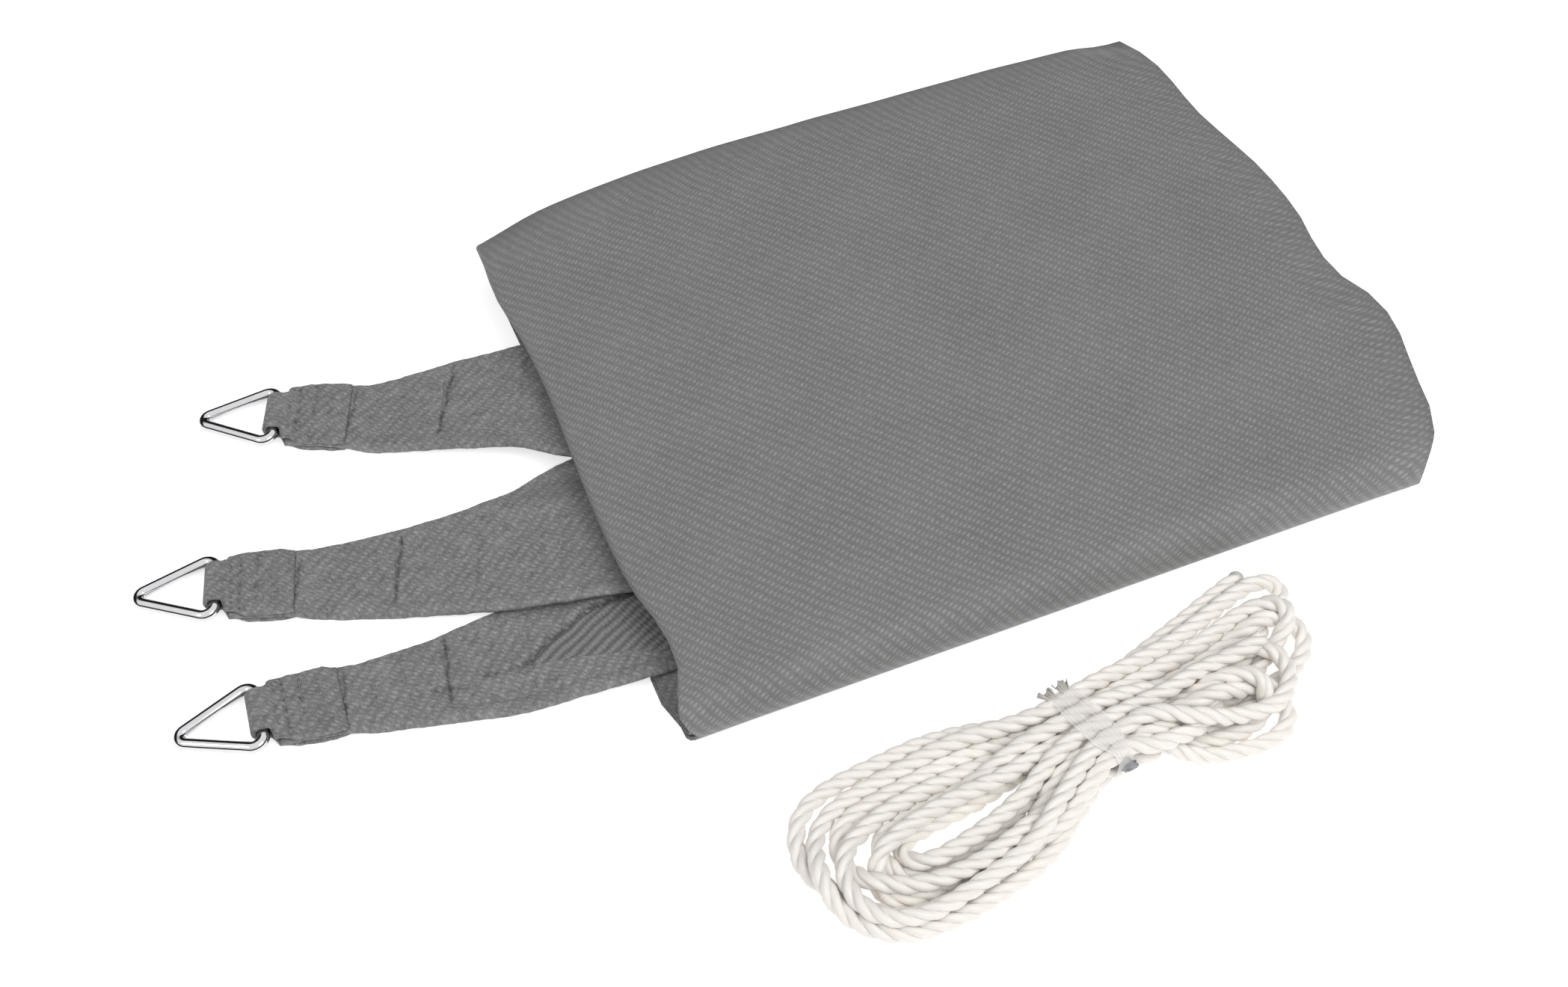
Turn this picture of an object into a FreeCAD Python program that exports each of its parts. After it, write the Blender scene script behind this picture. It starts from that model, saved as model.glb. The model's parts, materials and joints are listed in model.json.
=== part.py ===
import FreeCAD, Part
import math
import os

# A folded triangular shade sail: a flat packet of knitted cloth, three sewn corners
# that come out of its left end, a bent-wire delta ring in each, and a hank of rope.
# Millimetres, +Z up. Everything is laid out from the packet's near left corner, with
# +X along the packet and +Y from its folded near edge to its far edge. The finished
# object is then moved so that its bottom centre is the origin.

# ---------------------------------------------------------------- the packet
PACKET_NEAR_LENGTH = 396.0   # along the folded near edge
PACKET_FAR_LENGTH = 408.0    # along the far edge
RIGHT_BOW = 23.0             # how far the loose right end bows out past its corners
PACKET_LEFT_DEPTH = 333.0    # from the near fold to the far left corner
PACKET_RIGHT_DEPTH = 356.0   # from the near fold to the far right corner
FAR_BOW = 14.0               # how far the far edge bows out past its corners
PACKET_HEIGHT = 31.0
WRAP_THICKNESS = 4.0         # the outer panel's layers, folded round the near edge
MOUTH_REACH = 32.0           # how far the corners run into the left end
MOUTH_ROOM = 1.5             # round the corners, inside the mouth

# ---------------------------------------------------------------- the rings
RING_WIRE = 6.0              # wire diameter
RING_BASE = 38.0             # between the centre lines' corners, along the bar
RING_LEG = 47.6              # from a bar corner to the tip, on the centre lines
BASE_BEND = 5.0              # centre-line radius at the bar's two ends
TIP_BEND = 4.0               # centre-line radius at the tip
BAR_CLEARANCE = 0.4          # between the bar and the cloth loop round it

# ---------------------------------------------------------------- the corners
LOOP_CLOTH = 2.2             # thickness of the loop's doubled cloth
LOOP_SIDE_ROOM = 0.5         # between the loop's edge and the start of the bar's bend
LOOP_TAIL = 38.0             # how far the loop's two tails run back from the bar
TAIL_WIDE_FROM = 7.5         # behind the bar, where the tails take the cloth's width
TAIL_FLAT_FROM = 14.0        # behind the bar, where the upper tail lies flat
CORNER_CLOTH = 3.0           # thickness of the corner's own layers
CORNER_START = 7.0           # behind the bar, where the corner's own layers begin
PATCH_END = 88.0             # where the reinforcing patch ends
PATCH_CLOTH = 1.0
PATCH_INSET = 2.0            # from the corner's edge to the patch's
LANDING = 9.0                # behind the tails, the run in which the corner meets the floor
HEM_WIDTH = 8.0
HEM_CLOTH = 1.0
LAYER_GAP = 0.1              # between layers that lie on each other
THREAD = 0.6                 # thread thickness
STITCH_LENGTH = 2.4
STITCH_PITCH = 3.2
STITCH_ROWS = (12.0, 20.0, 28.0, 35.0)   # behind the bar, across the loop's upper tail
STITCH_MARGIN = 2.5          # from the cloth's edge to the first stitch

# Each corner: the middle of its ring's bar, the angle that it points away from the
# packet's long side by, and its two edges, as (distance behind the bar, distance from
# the centre line). Its underside lies on the floor as far back as "touch", then climbs
# to the height "mouth", where it goes into the packet.
CORNERS = {
    1: {
        "bar": (-131.0, 273.0),
        "angle": 21.0,
        "far": ((0.0, 19.0), (38.0, 21.0), (88.0, 33.0), (180.0, 49.0)),
        "near": ((0.0, -18.0), (38.0, -21.0), (92.0, -26.0), (180.0, -32.0)),
        "touch": 56.0,
        "mouth": 13.0,
    },
    2: {
        "bar": (-184.0, 175.0),
        "angle": 15.0,
        "far": ((0.0, 18.0), (38.0, 18.0), (118.0, 30.0), (165.0, 51.0), (230.0, 49.0)),
        "near": ((0.0, -18.0), (38.0, -21.0), (88.0, -28.0), (143.0, -35.0), (230.0, -36.0)),
        "touch": 76.0,
        "mouth": 12.0,
    },
    3: {
        "bar": (-181.0, 94.0),
        "angle": 5.0,
        "far": ((0.0, 18.0), (40.0, 16.0), (80.0, 19.0), (120.0, 27.0), (225.0, 42.0)),
        "near": ((0.0, -18.0), (40.0, -21.0), (76.0, -27.0), (114.0, -33.0), (225.0, -36.0)),
        "touch": 118.0,
        "mouth": 5.5,
    },
}

# ---------------------------------------------------------------- the rope
HANK_HEIGHT = 18.0
HANK_ROUNDING = 5.0          # along the hank's upper edge
WAIST_LENGTH = 24.0          # the bound stretch, along the hank
WAIST_WIDTH = 44.0
WAIST_HEIGHT = 21.0
WAIST_ROUNDING = 7.0
TIE_LENGTH = 17.0
TIE_FILM = 0.8
TIE_CLEARANCE = 0.2
WAIST_CENTRE = (166.5, -66.0)
LEFT_LOBE = ((0, 22), (-64, 27), (-120, 24), (-148, -16), (-132, -55), (-84, -60),
             (-38, -44), (0, -22))
RIGHT_LOBE = ((0, -22), (36, -32), (82, -41), (104, -30), (116, -6), (140, 30),
              (126, 53), (72, 38), (0, 22))

PARTS_FOLDER = "parts"
TALL = 200.0                 # taller than anything here, for cutting shapes
OVERLAP = 1.0                # past a face that two shapes share, when one cuts or joins


def vector(x, y, z=0.0):
    return FreeCAD.Vector(x, y, z)


def closed_face(edges):
    return Part.Face(Part.Wire(Part.__sortEdges__(edges)))


def polygon_face(points):
    corners = [vector(*point) for point in points]
    return Part.Face(Part.makePolygon(corners + corners[:1]))


def arc(start, middle, end):
    return Part.Arc(vector(*start), vector(*middle), vector(*end)).toShape()


def line(start, end):
    return Part.LineSegment(vector(*start), vector(*end)).toShape()


def one_solid(shape):
    """The largest solid of a cut or common, free of its splitting edges."""
    return max(shape.Solids, key=lambda solid: solid.Volume).removeSplitter()


# ---------------------------------------------------------------- packet solids
def packet_plan():
    """The packet's outline from above, past the near edge, where its fold ends it."""
    near_left = (0.0, -OVERLAP)
    near_right = (PACKET_NEAR_LENGTH, -OVERLAP)
    far_right = (PACKET_FAR_LENGTH, PACKET_RIGHT_DEPTH)
    far_left = (0.0, PACKET_LEFT_DEPTH)
    right_middle = (max(near_right[0], far_right[0]) + RIGHT_BOW, far_right[1] / 2)
    far_middle = (far_right[0] / 2, (far_left[1] + far_right[1]) / 2 + FAR_BOW)
    return closed_face([
        line(near_left, near_right),
        arc(near_right, right_middle, far_right),
        arc(far_right, far_middle, far_left),
        line(far_left, near_left),
    ])


def fold_line(inset):
    """One layer's path in Y and Z, from the far edge round the near fold and back."""
    radius = PACKET_HEIGHT / 2 - inset
    bend = PACKET_HEIGHT / 2
    far_end = PACKET_RIGHT_DEPTH + TALL
    side = -TALL
    low = (side, bend, inset)
    high = (side, bend, PACKET_HEIGHT - inset)
    far_low = (side, far_end, inset)
    far_high = (side, far_end, PACKET_HEIGHT - inset)
    return far_low, low, (side, bend - radius, bend), high, far_high


def cut_to_packet(edges):
    """A cross-section drawn along the packet and cut to its outline."""
    length = vector(PACKET_FAR_LENGTH + 3 * TALL, 0.0)
    column = packet_plan().extrude(vector(0.0, 0.0, PACKET_HEIGHT + OVERLAP))
    column.translate(vector(0.0, 0.0, -OVERLAP / 2))
    return closed_face(edges).extrude(length).common(column)


def sail_panel_outer():
    out_low, out_bend_low, out_near, out_bend_high, out_high = fold_line(0.0)
    in_low, in_bend_low, in_near, in_bend_high, in_high = fold_line(
        WRAP_THICKNESS - LAYER_GAP)
    return one_solid(cut_to_packet([
        line(out_low, out_bend_low),
        arc(out_bend_low, out_near, out_bend_high),
        line(out_bend_high, out_high),
        line(out_high, in_high),
        line(in_high, in_bend_high),
        arc(in_bend_high, in_near, in_bend_low),
        line(in_bend_low, in_low),
        line(in_low, out_low),
    ]))


def mouth():
    """The space in the left end that the three corners come out of."""
    left_end = Part.makeBox(MOUTH_REACH, 4 * TALL, PACKET_HEIGHT, vector(0.0, -TALL, 0.0))
    stack = CORNER_CLOTH + LAYER_GAP + HEM_CLOTH
    inside = [
        corner_layer(corner, 0.0, stack, corner["far"], corner["near"]).common(left_end)
        for corner in CORNERS.values()
    ]
    box = Part.makeCompound(inside).BoundBox
    return Part.makeBox(
        MOUTH_REACH + MOUTH_ROOM + TALL,
        box.YLength + 2 * MOUTH_ROOM,
        box.ZLength + 2 * MOUTH_ROOM,
        vector(-TALL, box.YMin - MOUTH_ROOM, box.ZMin - MOUTH_ROOM))


def sail_panel_inner():
    far_low, bend_low, near, bend_high, far_high = fold_line(WRAP_THICKNESS)
    stack = cut_to_packet([
        line(far_low, bend_low),
        arc(bend_low, near, bend_high),
        line(bend_high, far_high),
        line(far_high, far_low),
    ])
    return one_solid(stack.cut(mouth()))


# ---------------------------------------------------------------- corner solids
def bar_height():
    return RING_WIRE / 2 + BAR_CLEARANCE + LOOP_CLOTH


def corner_placement(corner):
    """From a corner's own frame (u back from the bar, v across, z up) to the packet's."""
    turn = FreeCAD.Rotation(vector(0.0, 0.0, 1.0), -corner["angle"])
    return FreeCAD.Placement(vector(*corner["bar"]), turn)


def corner_reach(corner):
    """How far behind the bar the corner's cloth runs, to the end of the mouth."""
    angle = math.radians(corner["angle"])
    return (MOUTH_REACH - corner["bar"][0]) / math.cos(angle)


def mouth_distance(corner):
    return -corner["bar"][0] / math.cos(math.radians(corner["angle"]))


def underside(corner):
    """The line that the underside of a corner's own layers follows, as (u, z)."""
    on_tail = LOOP_CLOTH + LAYER_GAP
    return [
        (CORNER_START, on_tail),
        (LOOP_TAIL + LAYER_GAP, on_tail),
        (LOOP_TAIL + LANDING, 0.0),
        (corner["touch"], 0.0),
        (mouth_distance(corner), corner["mouth"]),
        (corner_reach(corner) + TALL, corner["mouth"]),
    ]


def corner_layer(corner, lift, thickness, far, near, start=CORNER_START, end=None):
    """One layer of a corner: its two edges in plan, following the underside's line."""
    low = [(u, -TALL, z + lift) for u, z in underside(corner)]
    high = [(u, -TALL, z + lift + thickness) for u, z in reversed(underside(corner))]
    band = polygon_face(low + high).extrude(vector(0.0, 2 * TALL))
    plan = polygon_face(list(far) + list(reversed(near)))
    column = plan.extrude(vector(0.0, 0.0, TALL))
    length = 2 * TALL if end is None else end - start
    slab = Part.makeBox(length, 2 * TALL, TALL, vector(start, -TALL, 0.0))
    shape = band.common(column).common(slab)
    shape.Placement = corner_placement(corner)
    if end is None:
        inside = vector(MOUTH_REACH - 4 * TALL, -4 * TALL, 0.0)
        shape = shape.common(Part.makeBox(4 * TALL, 8 * TALL, TALL, inside))
    return one_solid(shape)


def corner_cloth(corner):
    return corner_layer(corner, 0.0, CORNER_CLOTH, corner["far"], corner["near"])


def corner_patch(corner):
    lift = CORNER_CLOTH + LAYER_GAP
    start = LOOP_TAIL + 2 * LAYER_GAP
    far = [(u, v - PATCH_INSET) for u, v in corner["far"]]
    near = [(u, v + PATCH_INSET) for u, v in corner["near"]]
    return corner_layer(corner, lift, PATCH_CLOTH, far, near, start, PATCH_END)


def corner_hem(corner, side):
    """The folded edge along one side of a corner, from the patch into the mouth."""
    lift = CORNER_CLOTH + LAYER_GAP
    start = PATCH_END + LAYER_GAP
    inward = -HEM_WIDTH if side == "far" else HEM_WIDTH
    outer = corner[side]
    inner = [(u, v + inward) for u, v in outer]
    far, near = (outer, inner) if side == "far" else (inner, outer)
    return corner_layer(corner, lift, HEM_CLOTH, far, near, start)


def edge_width(edge, u):
    """How far an edge is from the centre line at a distance behind the bar."""
    for (u0, v0), (u1, v1) in zip(edge, edge[1:]):
        if u0 <= u <= u1:
            return v0 + (v1 - v0) * (u - u0) / (u1 - u0)
    return edge[-1][1]


def bar_straight():
    """The straight stretch of a ring's bar, between its two bends."""
    half_angle = math.acos(RING_BASE / 2 / RING_LEG) / 2
    return RING_BASE - 2 * BASE_BEND / math.tan(half_angle)


def ring_loop(corner):
    """The doubled cloth round the bar, with an upper and a lower tail."""
    centre = bar_height()
    inner = RING_WIRE / 2 + BAR_CLEARANCE
    outer = inner + LOOP_CLOTH
    side = -TALL
    tail_low = LOOP_CLOTH + 2 * LAYER_GAP + CORNER_CLOTH
    tail_high = tail_low + LOOP_CLOTH
    wide_drop = (centre + outer - tail_high) * TAIL_WIDE_FROM / TAIL_FLAT_FROM
    edges = [
        arc((0.0, side, centre - outer), (-outer, side, centre), (0.0, side, centre + outer)),
        line((0.0, side, centre + outer), (TAIL_WIDE_FROM, side, centre + outer - wide_drop)),
        line((TAIL_WIDE_FROM, side, centre + outer - wide_drop),
             (TAIL_FLAT_FROM, side, tail_high)),
        line((TAIL_FLAT_FROM, side, tail_high), (LOOP_TAIL, side, tail_high)),
        line((LOOP_TAIL, side, tail_high), (LOOP_TAIL, side, tail_low)),
        line((LOOP_TAIL, side, tail_low), (TAIL_FLAT_FROM, side, tail_low)),
        line((TAIL_FLAT_FROM, side, tail_low), (0.0, side, centre + inner)),
        arc((0.0, side, centre + inner), (-inner, side, centre), (0.0, side, centre - inner)),
        line((0.0, side, centre - inner), (LOOP_TAIL, side, LOOP_CLOTH)),
        line((LOOP_TAIL, side, LOOP_CLOTH), (LOOP_TAIL, side, 0.0)),
        line((LOOP_TAIL, side, 0.0), (0.0, side, centre - outer)),
    ]
    band = closed_face(edges).extrude(vector(0.0, 2 * TALL))
    half = bar_straight() / 2 - LOOP_SIDE_ROOM
    start = -2 * outer
    wide_end = LOOP_TAIL + OVERLAP
    plan = polygon_face([
        (start, half),
        (TAIL_WIDE_FROM, half),
        (TAIL_WIDE_FROM, edge_width(corner["far"], TAIL_WIDE_FROM)),
        (wide_end, edge_width(corner["far"], wide_end)),
        (wide_end, edge_width(corner["near"], wide_end)),
        (TAIL_WIDE_FROM, edge_width(corner["near"], TAIL_WIDE_FROM)),
        (TAIL_WIDE_FROM, -half),
        (start, -half),
    ])
    shape = band.common(plan.extrude(vector(0.0, 0.0, TALL)))
    shape.Placement = corner_placement(corner)
    return one_solid(shape)


def tail_top(u):
    """The height of the loop's upper tail at a distance behind the bar."""
    flat = 2 * LOOP_CLOTH + 2 * LAYER_GAP + CORNER_CLOTH
    over_bar = 2 * bar_height()
    share = min(u / TAIL_FLAT_FROM, 1.0)
    return over_bar + (flat - over_bar) * share


def loop_stitching(corner):
    """Rows of thread across the loop's upper tail, each stitch a short rod."""
    stitches = []
    for row in STITCH_ROWS:
        far = edge_width(corner["far"], row) - STITCH_MARGIN
        near = edge_width(corner["near"], row) + STITCH_MARGIN
        count = int((far - near - STITCH_LENGTH) / STITCH_PITCH) + 1
        spare = (far - near - STITCH_LENGTH - (count - 1) * STITCH_PITCH) / 2
        height = tail_top(row) + THREAD / 2 + LAYER_GAP
        for number in range(count):
            start = near + spare + number * STITCH_PITCH
            stitches.append(Part.makeCylinder(
                THREAD / 2, STITCH_LENGTH, vector(row, start, height), vector(0.0, 1.0)))
    thread = Part.makeCompound(stitches)
    thread.Placement = corner_placement(corner)
    return thread


# ---------------------------------------------------------------- rings
def rounded(corner, before, after, radius):
    """The start, middle and end of the arc that rounds one corner of a path."""
    to_before = (before - corner).normalize()
    to_after = (after - corner).normalize()
    half_angle = to_before.getAngle(to_after) / 2
    reach = radius / math.tan(half_angle)
    inward = (to_before + to_after).normalize()
    middle = corner + inward * (radius / math.sin(half_angle) - radius)
    return corner + to_before * reach, middle, corner + to_after * reach


def ring_height():
    """From the bar's centre line to the two legs' meeting point."""
    return math.sqrt(RING_LEG ** 2 - (RING_BASE / 2) ** 2)


def ring_tilt():
    """The angle, in degrees, that a ring drops by so that its tip touches the floor."""
    half_tip = math.asin(RING_BASE / 2 / RING_LEG)
    tip = ring_height() - TIP_BEND * (1 / math.sin(half_tip) - 1)
    return math.degrees(math.asin((bar_height() - RING_WIRE / 2) / tip))


def ring(corner):
    """A bent-wire triangle whose bar lies across the corner's loop."""
    far_end = vector(0.0, RING_BASE / 2)
    near_end = vector(0.0, -RING_BASE / 2)
    tip = vector(-ring_height(), 0.0)
    bar_middle = vector(0.0, 0.0)
    bends = [
        rounded(far_end, near_end, tip, BASE_BEND),
        rounded(tip, far_end, near_end, TIP_BEND),
        rounded(near_end, tip, far_end, BASE_BEND),
    ]
    edges = []
    last = bar_middle
    for start, middle, end in bends:
        edges.append(Part.LineSegment(last, start).toShape())
        edges.append(Part.Arc(start, middle, end).toShape())
        last = end
    edges.append(Part.LineSegment(last, bar_middle).toShape())
    section = Part.Wire(Part.makeCircle(RING_WIRE / 2, bar_middle, vector(0.0, 1.0)))
    wire = Part.Wire(edges).makePipeShell([section], True, True)
    wire = Part.makeSolid(wire) if wire.ShapeType != "Solid" else wire
    wire.rotate(vector(0.0, 0.0), vector(0.0, 1.0), -ring_tilt())
    wire.translate(vector(0.0, 0.0, bar_height()))
    turned = wire.copy()
    turned.Placement = corner_placement(corner).multiply(wire.Placement)
    return turned


# ---------------------------------------------------------------- rope and tie
def rounded_bar(length, width, height, lift):
    """A bar along X whose cross-section is a rounded rectangle."""
    centre_x, centre_y = WAIST_CENTRE
    bar = Part.makeBox(
        length, width, height, vector(centre_x - length / 2, centre_y - width / 2, lift))
    along = [edge for edge in bar.Edges if abs(edge.tangentAt(0.0).x) > 0.9]
    return bar.makeFillet(WAIST_ROUNDING, along)


def lobe(points):
    """One end of the hank, from a closed outline about the waist."""
    places = [vector(WAIST_CENTRE[0] + x, WAIST_CENTRE[1] + y) for x, y in points]
    curve = Part.BSplineCurve()
    curve.interpolate(places)
    outline = closed_face([curve.toShape(), line(tuple(places[-1])[:2], tuple(places[0])[:2])])
    solid = outline.extrude(vector(0.0, 0.0, HANK_HEIGHT))
    rim = [edge for edge in solid.Edges
           if edge.BoundBox.ZMin > HANK_HEIGHT / 2 and edge.BoundBox.XLength > WAIST_LENGTH]
    return solid.makeFillet(HANK_ROUNDING, rim)


def rope_hank():
    """The outer shape of the whole hank: two lobes and the bound waist between them."""
    lift = TIE_FILM + TIE_CLEARANCE
    window = Part.makeBox(
        WAIST_LENGTH, TALL * 2, TALL,
        vector(WAIST_CENTRE[0] - WAIST_LENGTH / 2, WAIST_CENTRE[1] - TALL, 0.0))
    lobes = lobe(LEFT_LOBE).fuse(lobe(RIGHT_LOBE)).cut(window)
    waist = rounded_bar(WAIST_LENGTH + 2 * OVERLAP, WAIST_WIDTH, WAIST_HEIGHT, lift)
    return one_solid(lobes.fuse(waist))


def rope_tie():
    """The film wound round the hank's waist."""
    around = 2 * (TIE_FILM + TIE_CLEARANCE)
    inside = 2 * TIE_CLEARANCE
    outer = rounded_bar(TIE_LENGTH, WAIST_WIDTH + around, WAIST_HEIGHT + around, 0.0)
    inner = rounded_bar(TIE_LENGTH + 2 * OVERLAP, WAIST_WIDTH + inside, WAIST_HEIGHT + inside, TIE_FILM)
    return one_solid(outer.cut(inner))


# ---------------------------------------------------------------- the whole object
def object_nodes():
    nodes = {
        "sail_panel_outer": sail_panel_outer(),
        "sail_panel_inner": sail_panel_inner(),
    }
    for number, corner in CORNERS.items():
        nodes[f"corner_cloth_{number}"] = corner_cloth(corner)
        nodes[f"corner_patch_{number}"] = corner_patch(corner)
        nodes[f"corner_hem_far_{number}"] = corner_hem(corner, "far")
        nodes[f"corner_hem_near_{number}"] = corner_hem(corner, "near")
        nodes[f"ring_loop_{number}"] = ring_loop(corner)
        nodes[f"loop_stitching_{number}"] = loop_stitching(corner)
        nodes[f"corner_ring_{number}"] = ring(corner)
    return nodes


def main():
    os.makedirs(PARTS_FOLDER, exist_ok=True)
    nodes = object_nodes()
    box = Part.makeCompound(list(nodes.values())).BoundBox
    shift = vector(-box.Center.x, -box.Center.y, -box.ZMin)
    nodes["rope_hank"] = rope_hank()
    nodes["rope_tie"] = rope_tie()
    for name, shape in nodes.items():
        moved = shape.copy()
        moved.translate(shift)
        moved.exportStep(f"{PARTS_FOLDER}/{name}.step")
        size = moved.BoundBox
        print(f"{name}: {len(moved.Solids)} solids, valid {moved.isValid()}, "
              f"{moved.Volume / 1000:.1f} cm3, z {size.ZMin:.2f} to {size.ZMax:.2f}")
    print(f"object box {box.XLength:.1f} x {box.YLength:.1f} x {box.ZLength:.1f} mm")
    print(f"packet corner moved by {shift.x:.3f}, {shift.y:.3f}, {shift.z:.3f}")
    for number, corner in CORNERS.items():
        place = corner_placement(corner).Base + shift
        angle = math.radians(corner["angle"])
        print(f"ring {number}: bar at {place.x:.3f}, {place.y:.3f}, {bar_height():.3f}, "
              f"along {math.sin(angle):.5f}, {math.cos(angle):.5f}, 0")


main()
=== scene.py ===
# %% [markdown]
# # A folded shade sail, its three corner rings and its rope
#
# A triangular shade sail comes folded flat. Three sewn corners stick out of one end of
# the packet, each round a bent-wire ring, and a hank of rope for hanging the sail lies
# beside it. The CAD model already holds every size and every joint, so this lesson
# starts by loading it, and then gives each soft piece its real shape and each surface
# its real finish. Lengths are in metres; MM turns a maker's millimetres into metres.

# %% Load the frame
import json
import math

import bmesh
import bpy
import numpy as np
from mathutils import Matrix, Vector, noise


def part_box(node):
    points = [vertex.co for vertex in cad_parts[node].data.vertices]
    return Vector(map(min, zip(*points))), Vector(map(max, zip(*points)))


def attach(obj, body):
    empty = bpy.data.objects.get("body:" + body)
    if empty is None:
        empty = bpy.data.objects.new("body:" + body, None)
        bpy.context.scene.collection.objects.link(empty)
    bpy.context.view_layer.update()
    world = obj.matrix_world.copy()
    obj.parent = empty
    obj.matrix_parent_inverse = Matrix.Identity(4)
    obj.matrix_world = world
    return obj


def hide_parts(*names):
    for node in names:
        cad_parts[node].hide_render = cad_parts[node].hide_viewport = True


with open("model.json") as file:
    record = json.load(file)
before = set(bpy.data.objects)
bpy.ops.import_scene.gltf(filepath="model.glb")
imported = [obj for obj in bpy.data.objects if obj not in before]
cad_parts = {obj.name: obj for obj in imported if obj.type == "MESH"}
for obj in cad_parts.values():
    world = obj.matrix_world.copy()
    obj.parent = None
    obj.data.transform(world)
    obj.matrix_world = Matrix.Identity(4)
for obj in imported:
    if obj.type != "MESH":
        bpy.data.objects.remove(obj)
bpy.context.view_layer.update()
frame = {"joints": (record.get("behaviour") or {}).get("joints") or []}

MM = 0.001
packet_low, packet_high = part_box("sail_panel_outer")
joints = {joint["name"]: joint for joint in frame["joints"]}
print("packet", [round(x / MM) for x in packet_high - packet_low], "mm")


# %% [markdown]
# ## The camera
#
# The view is a shop view: from the packet's near left, looking well down on it. A
# camera is a place, a direction and a focal length. Here the place is worked out from
# the two angles and the distance, so each can be changed by itself, and the camera is
# then turned to look at the target.

# %% Camera
VIEW_AZIMUTH = math.radians(-22.76)
VIEW_ELEVATION = math.radians(51.0)
VIEW_DISTANCE = 0.9923
VIEW_TARGET = Vector((-0.0076, -0.0543, 0.0))
LENS_MM = 44.635

backward = Vector((
    math.sin(VIEW_AZIMUTH) * math.cos(VIEW_ELEVATION),
    -math.cos(VIEW_AZIMUTH) * math.cos(VIEW_ELEVATION),
    math.sin(VIEW_ELEVATION),
))
bpy.ops.object.camera_add(location=VIEW_TARGET + backward * VIEW_DISTANCE)
camera = bpy.context.object
camera.name = "shop_view"
camera.data.sensor_width = 36.0
camera.data.lens = LENS_MM
camera.data.clip_start = 0.01
camera.rotation_euler = (-backward).to_track_quat("-Z", "Y").to_euler()
bpy.context.scene.camera = camera
print("camera at", [round(x, 3) for x in camera.location])


# %% [markdown]
# ## A short way to write materials
#
# A material is a network of nodes. Drawn by hand it soon becomes a tangle, so here a
# small class stands for one socket, and adding or multiplying two of them adds a Math
# node. Everything else goes through one method that takes a node's type, its settings
# and its sockets. A number that is the same all over goes straight on the shader.

# %% Shade and Finish
class Shade:
    """One output socket of a finish, with Python's operators as Math nodes."""

    def __init__(self, finish, socket):
        self.finish = finish
        self.socket = socket

    def math(self, operation, *others):
        return self.finish.math(operation, self, *others)

    def __add__(self, other):
        return self.math("ADD", other)

    def __sub__(self, other):
        return self.math("SUBTRACT", other)

    def __rsub__(self, other):
        return self.finish.math("SUBTRACT", other, self)

    def __mul__(self, other):
        return self.math("MULTIPLY", other)

    def __pow__(self, other):
        return self.math("POWER", other)

    __radd__ = __add__
    __rmul__ = __mul__

    def wave(self, period):
        """0 to 1 and back, once in each period."""
        return (self * (2 * math.pi / period)).math("SINE") * 0.5 + 0.5


class Finish:
    """A material with one Principled shader, built up from expressions."""

    def __init__(self, name, **constants):
        self.material = bpy.data.materials.new(name)
        self.material.use_nodes = True
        self.tree = self.material.node_tree
        self.shader = self.tree.nodes["Principled BSDF"]
        for socket, value in constants.items():
            self.shader.inputs[socket.replace("_", " ")].default_value = value

    def node(self, kind, settings=None, sockets=None, out=0):
        made = self.tree.nodes.new(kind)
        for name, value in (settings or {}).items():
            setattr(made, name, value)
        for key, value in (sockets or {}).items():
            self.plug(made.inputs[key], value)
        return Shade(self, made.outputs[out])

    def plug(self, socket, value):
        if isinstance(value, Shade):
            self.tree.links.new(value.socket, socket)
        else:
            socket.default_value = value

    def math(self, operation, *values):
        sockets = dict(enumerate(values))
        return self.node("ShaderNodeMath", {"operation": operation}, sockets)

    def parts(self, vector):
        """A vector's X, Y and Z."""
        split = self.node("ShaderNodeSeparateXYZ", {}, {0: vector})
        return [Shade(self, output) for output in split.socket.node.outputs]

    def own_map(self, name):
        return self.node("ShaderNodeUVMap", {"uv_map": name})

    def scaled(self, vector, by):
        settings = {"operation": "MULTIPLY"}
        return self.node("ShaderNodeVectorMath", settings, {0: vector, 1: by})

    def grain(self, vector, scale, detail=2.0):
        """Soft noise from 0 to 1."""
        sockets = {"Vector": vector, "Scale": scale, "Detail": detail}
        return self.node("ShaderNodeTexNoise", {}, sockets)

    def between(self, share, low, high):
        """A colour between two, by a share from 0 to 1."""
        sockets = {"Factor": share, 6: (*low, 1.0), 7: (*high, 1.0)}
        return self.node("ShaderNodeMix", {"data_type": "RGBA"}, sockets, out=2)

    def bump(self, height, depth, strength):
        """A Bump node, for a shader's Normal."""
        sockets = {"Height": height, "Distance": depth, "Strength": strength}
        return self.node("ShaderNodeBump", {}, sockets)

    def give(self, **links):
        for socket, value in links.items():
            self.plug(self.shader.inputs[socket.replace("_", " ")], value)
        return self.material


print("ready to write finishes as", Finish.__name__, "and", Shade.__name__)


# %% [markdown]
# ## The knitted cloth
#
# Shade cloth is warp-knitted from flat plastic yarn. Close up it is a lattice of small
# slanted stitches, and from arm's length a fine twill. An image could hold that, but a
# pattern made of waves has no size limit and follows the cloth: each piece carries a
# map called knit, in millimetres along and across the yarn. Two families of waves at a
# slant cross into stitches, and slow noise keeps their rows from being machine-perfect.
# Noise of finer and coarser grain adds fuzz, blotches and clouds. The stitches both tint
# the yarn and raise it through a Bump node. Where a seam, a crease or a stitch pinches the
# cloth, its mesh carries a value of painted shade, and the yarn there is painted darker to
# stand in for the shade that falls into the groove.

# %% Knit finish
ROW_PITCH = 4.7              # between the broad rows, in mm
STITCH_PITCH = 2.35          # between the fine rows that cross them
ROW_SLANT = math.radians(52.0)
STITCH_SLANT = math.radians(-32.0)
YARN_RAISE = 0.20 * MM
LATTICE_MEAN = 0.25          # two crossing waves, each 0.5 on average
MIDDLE_TINT = 0.45           # the share of yarn colour in plain cloth
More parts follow.
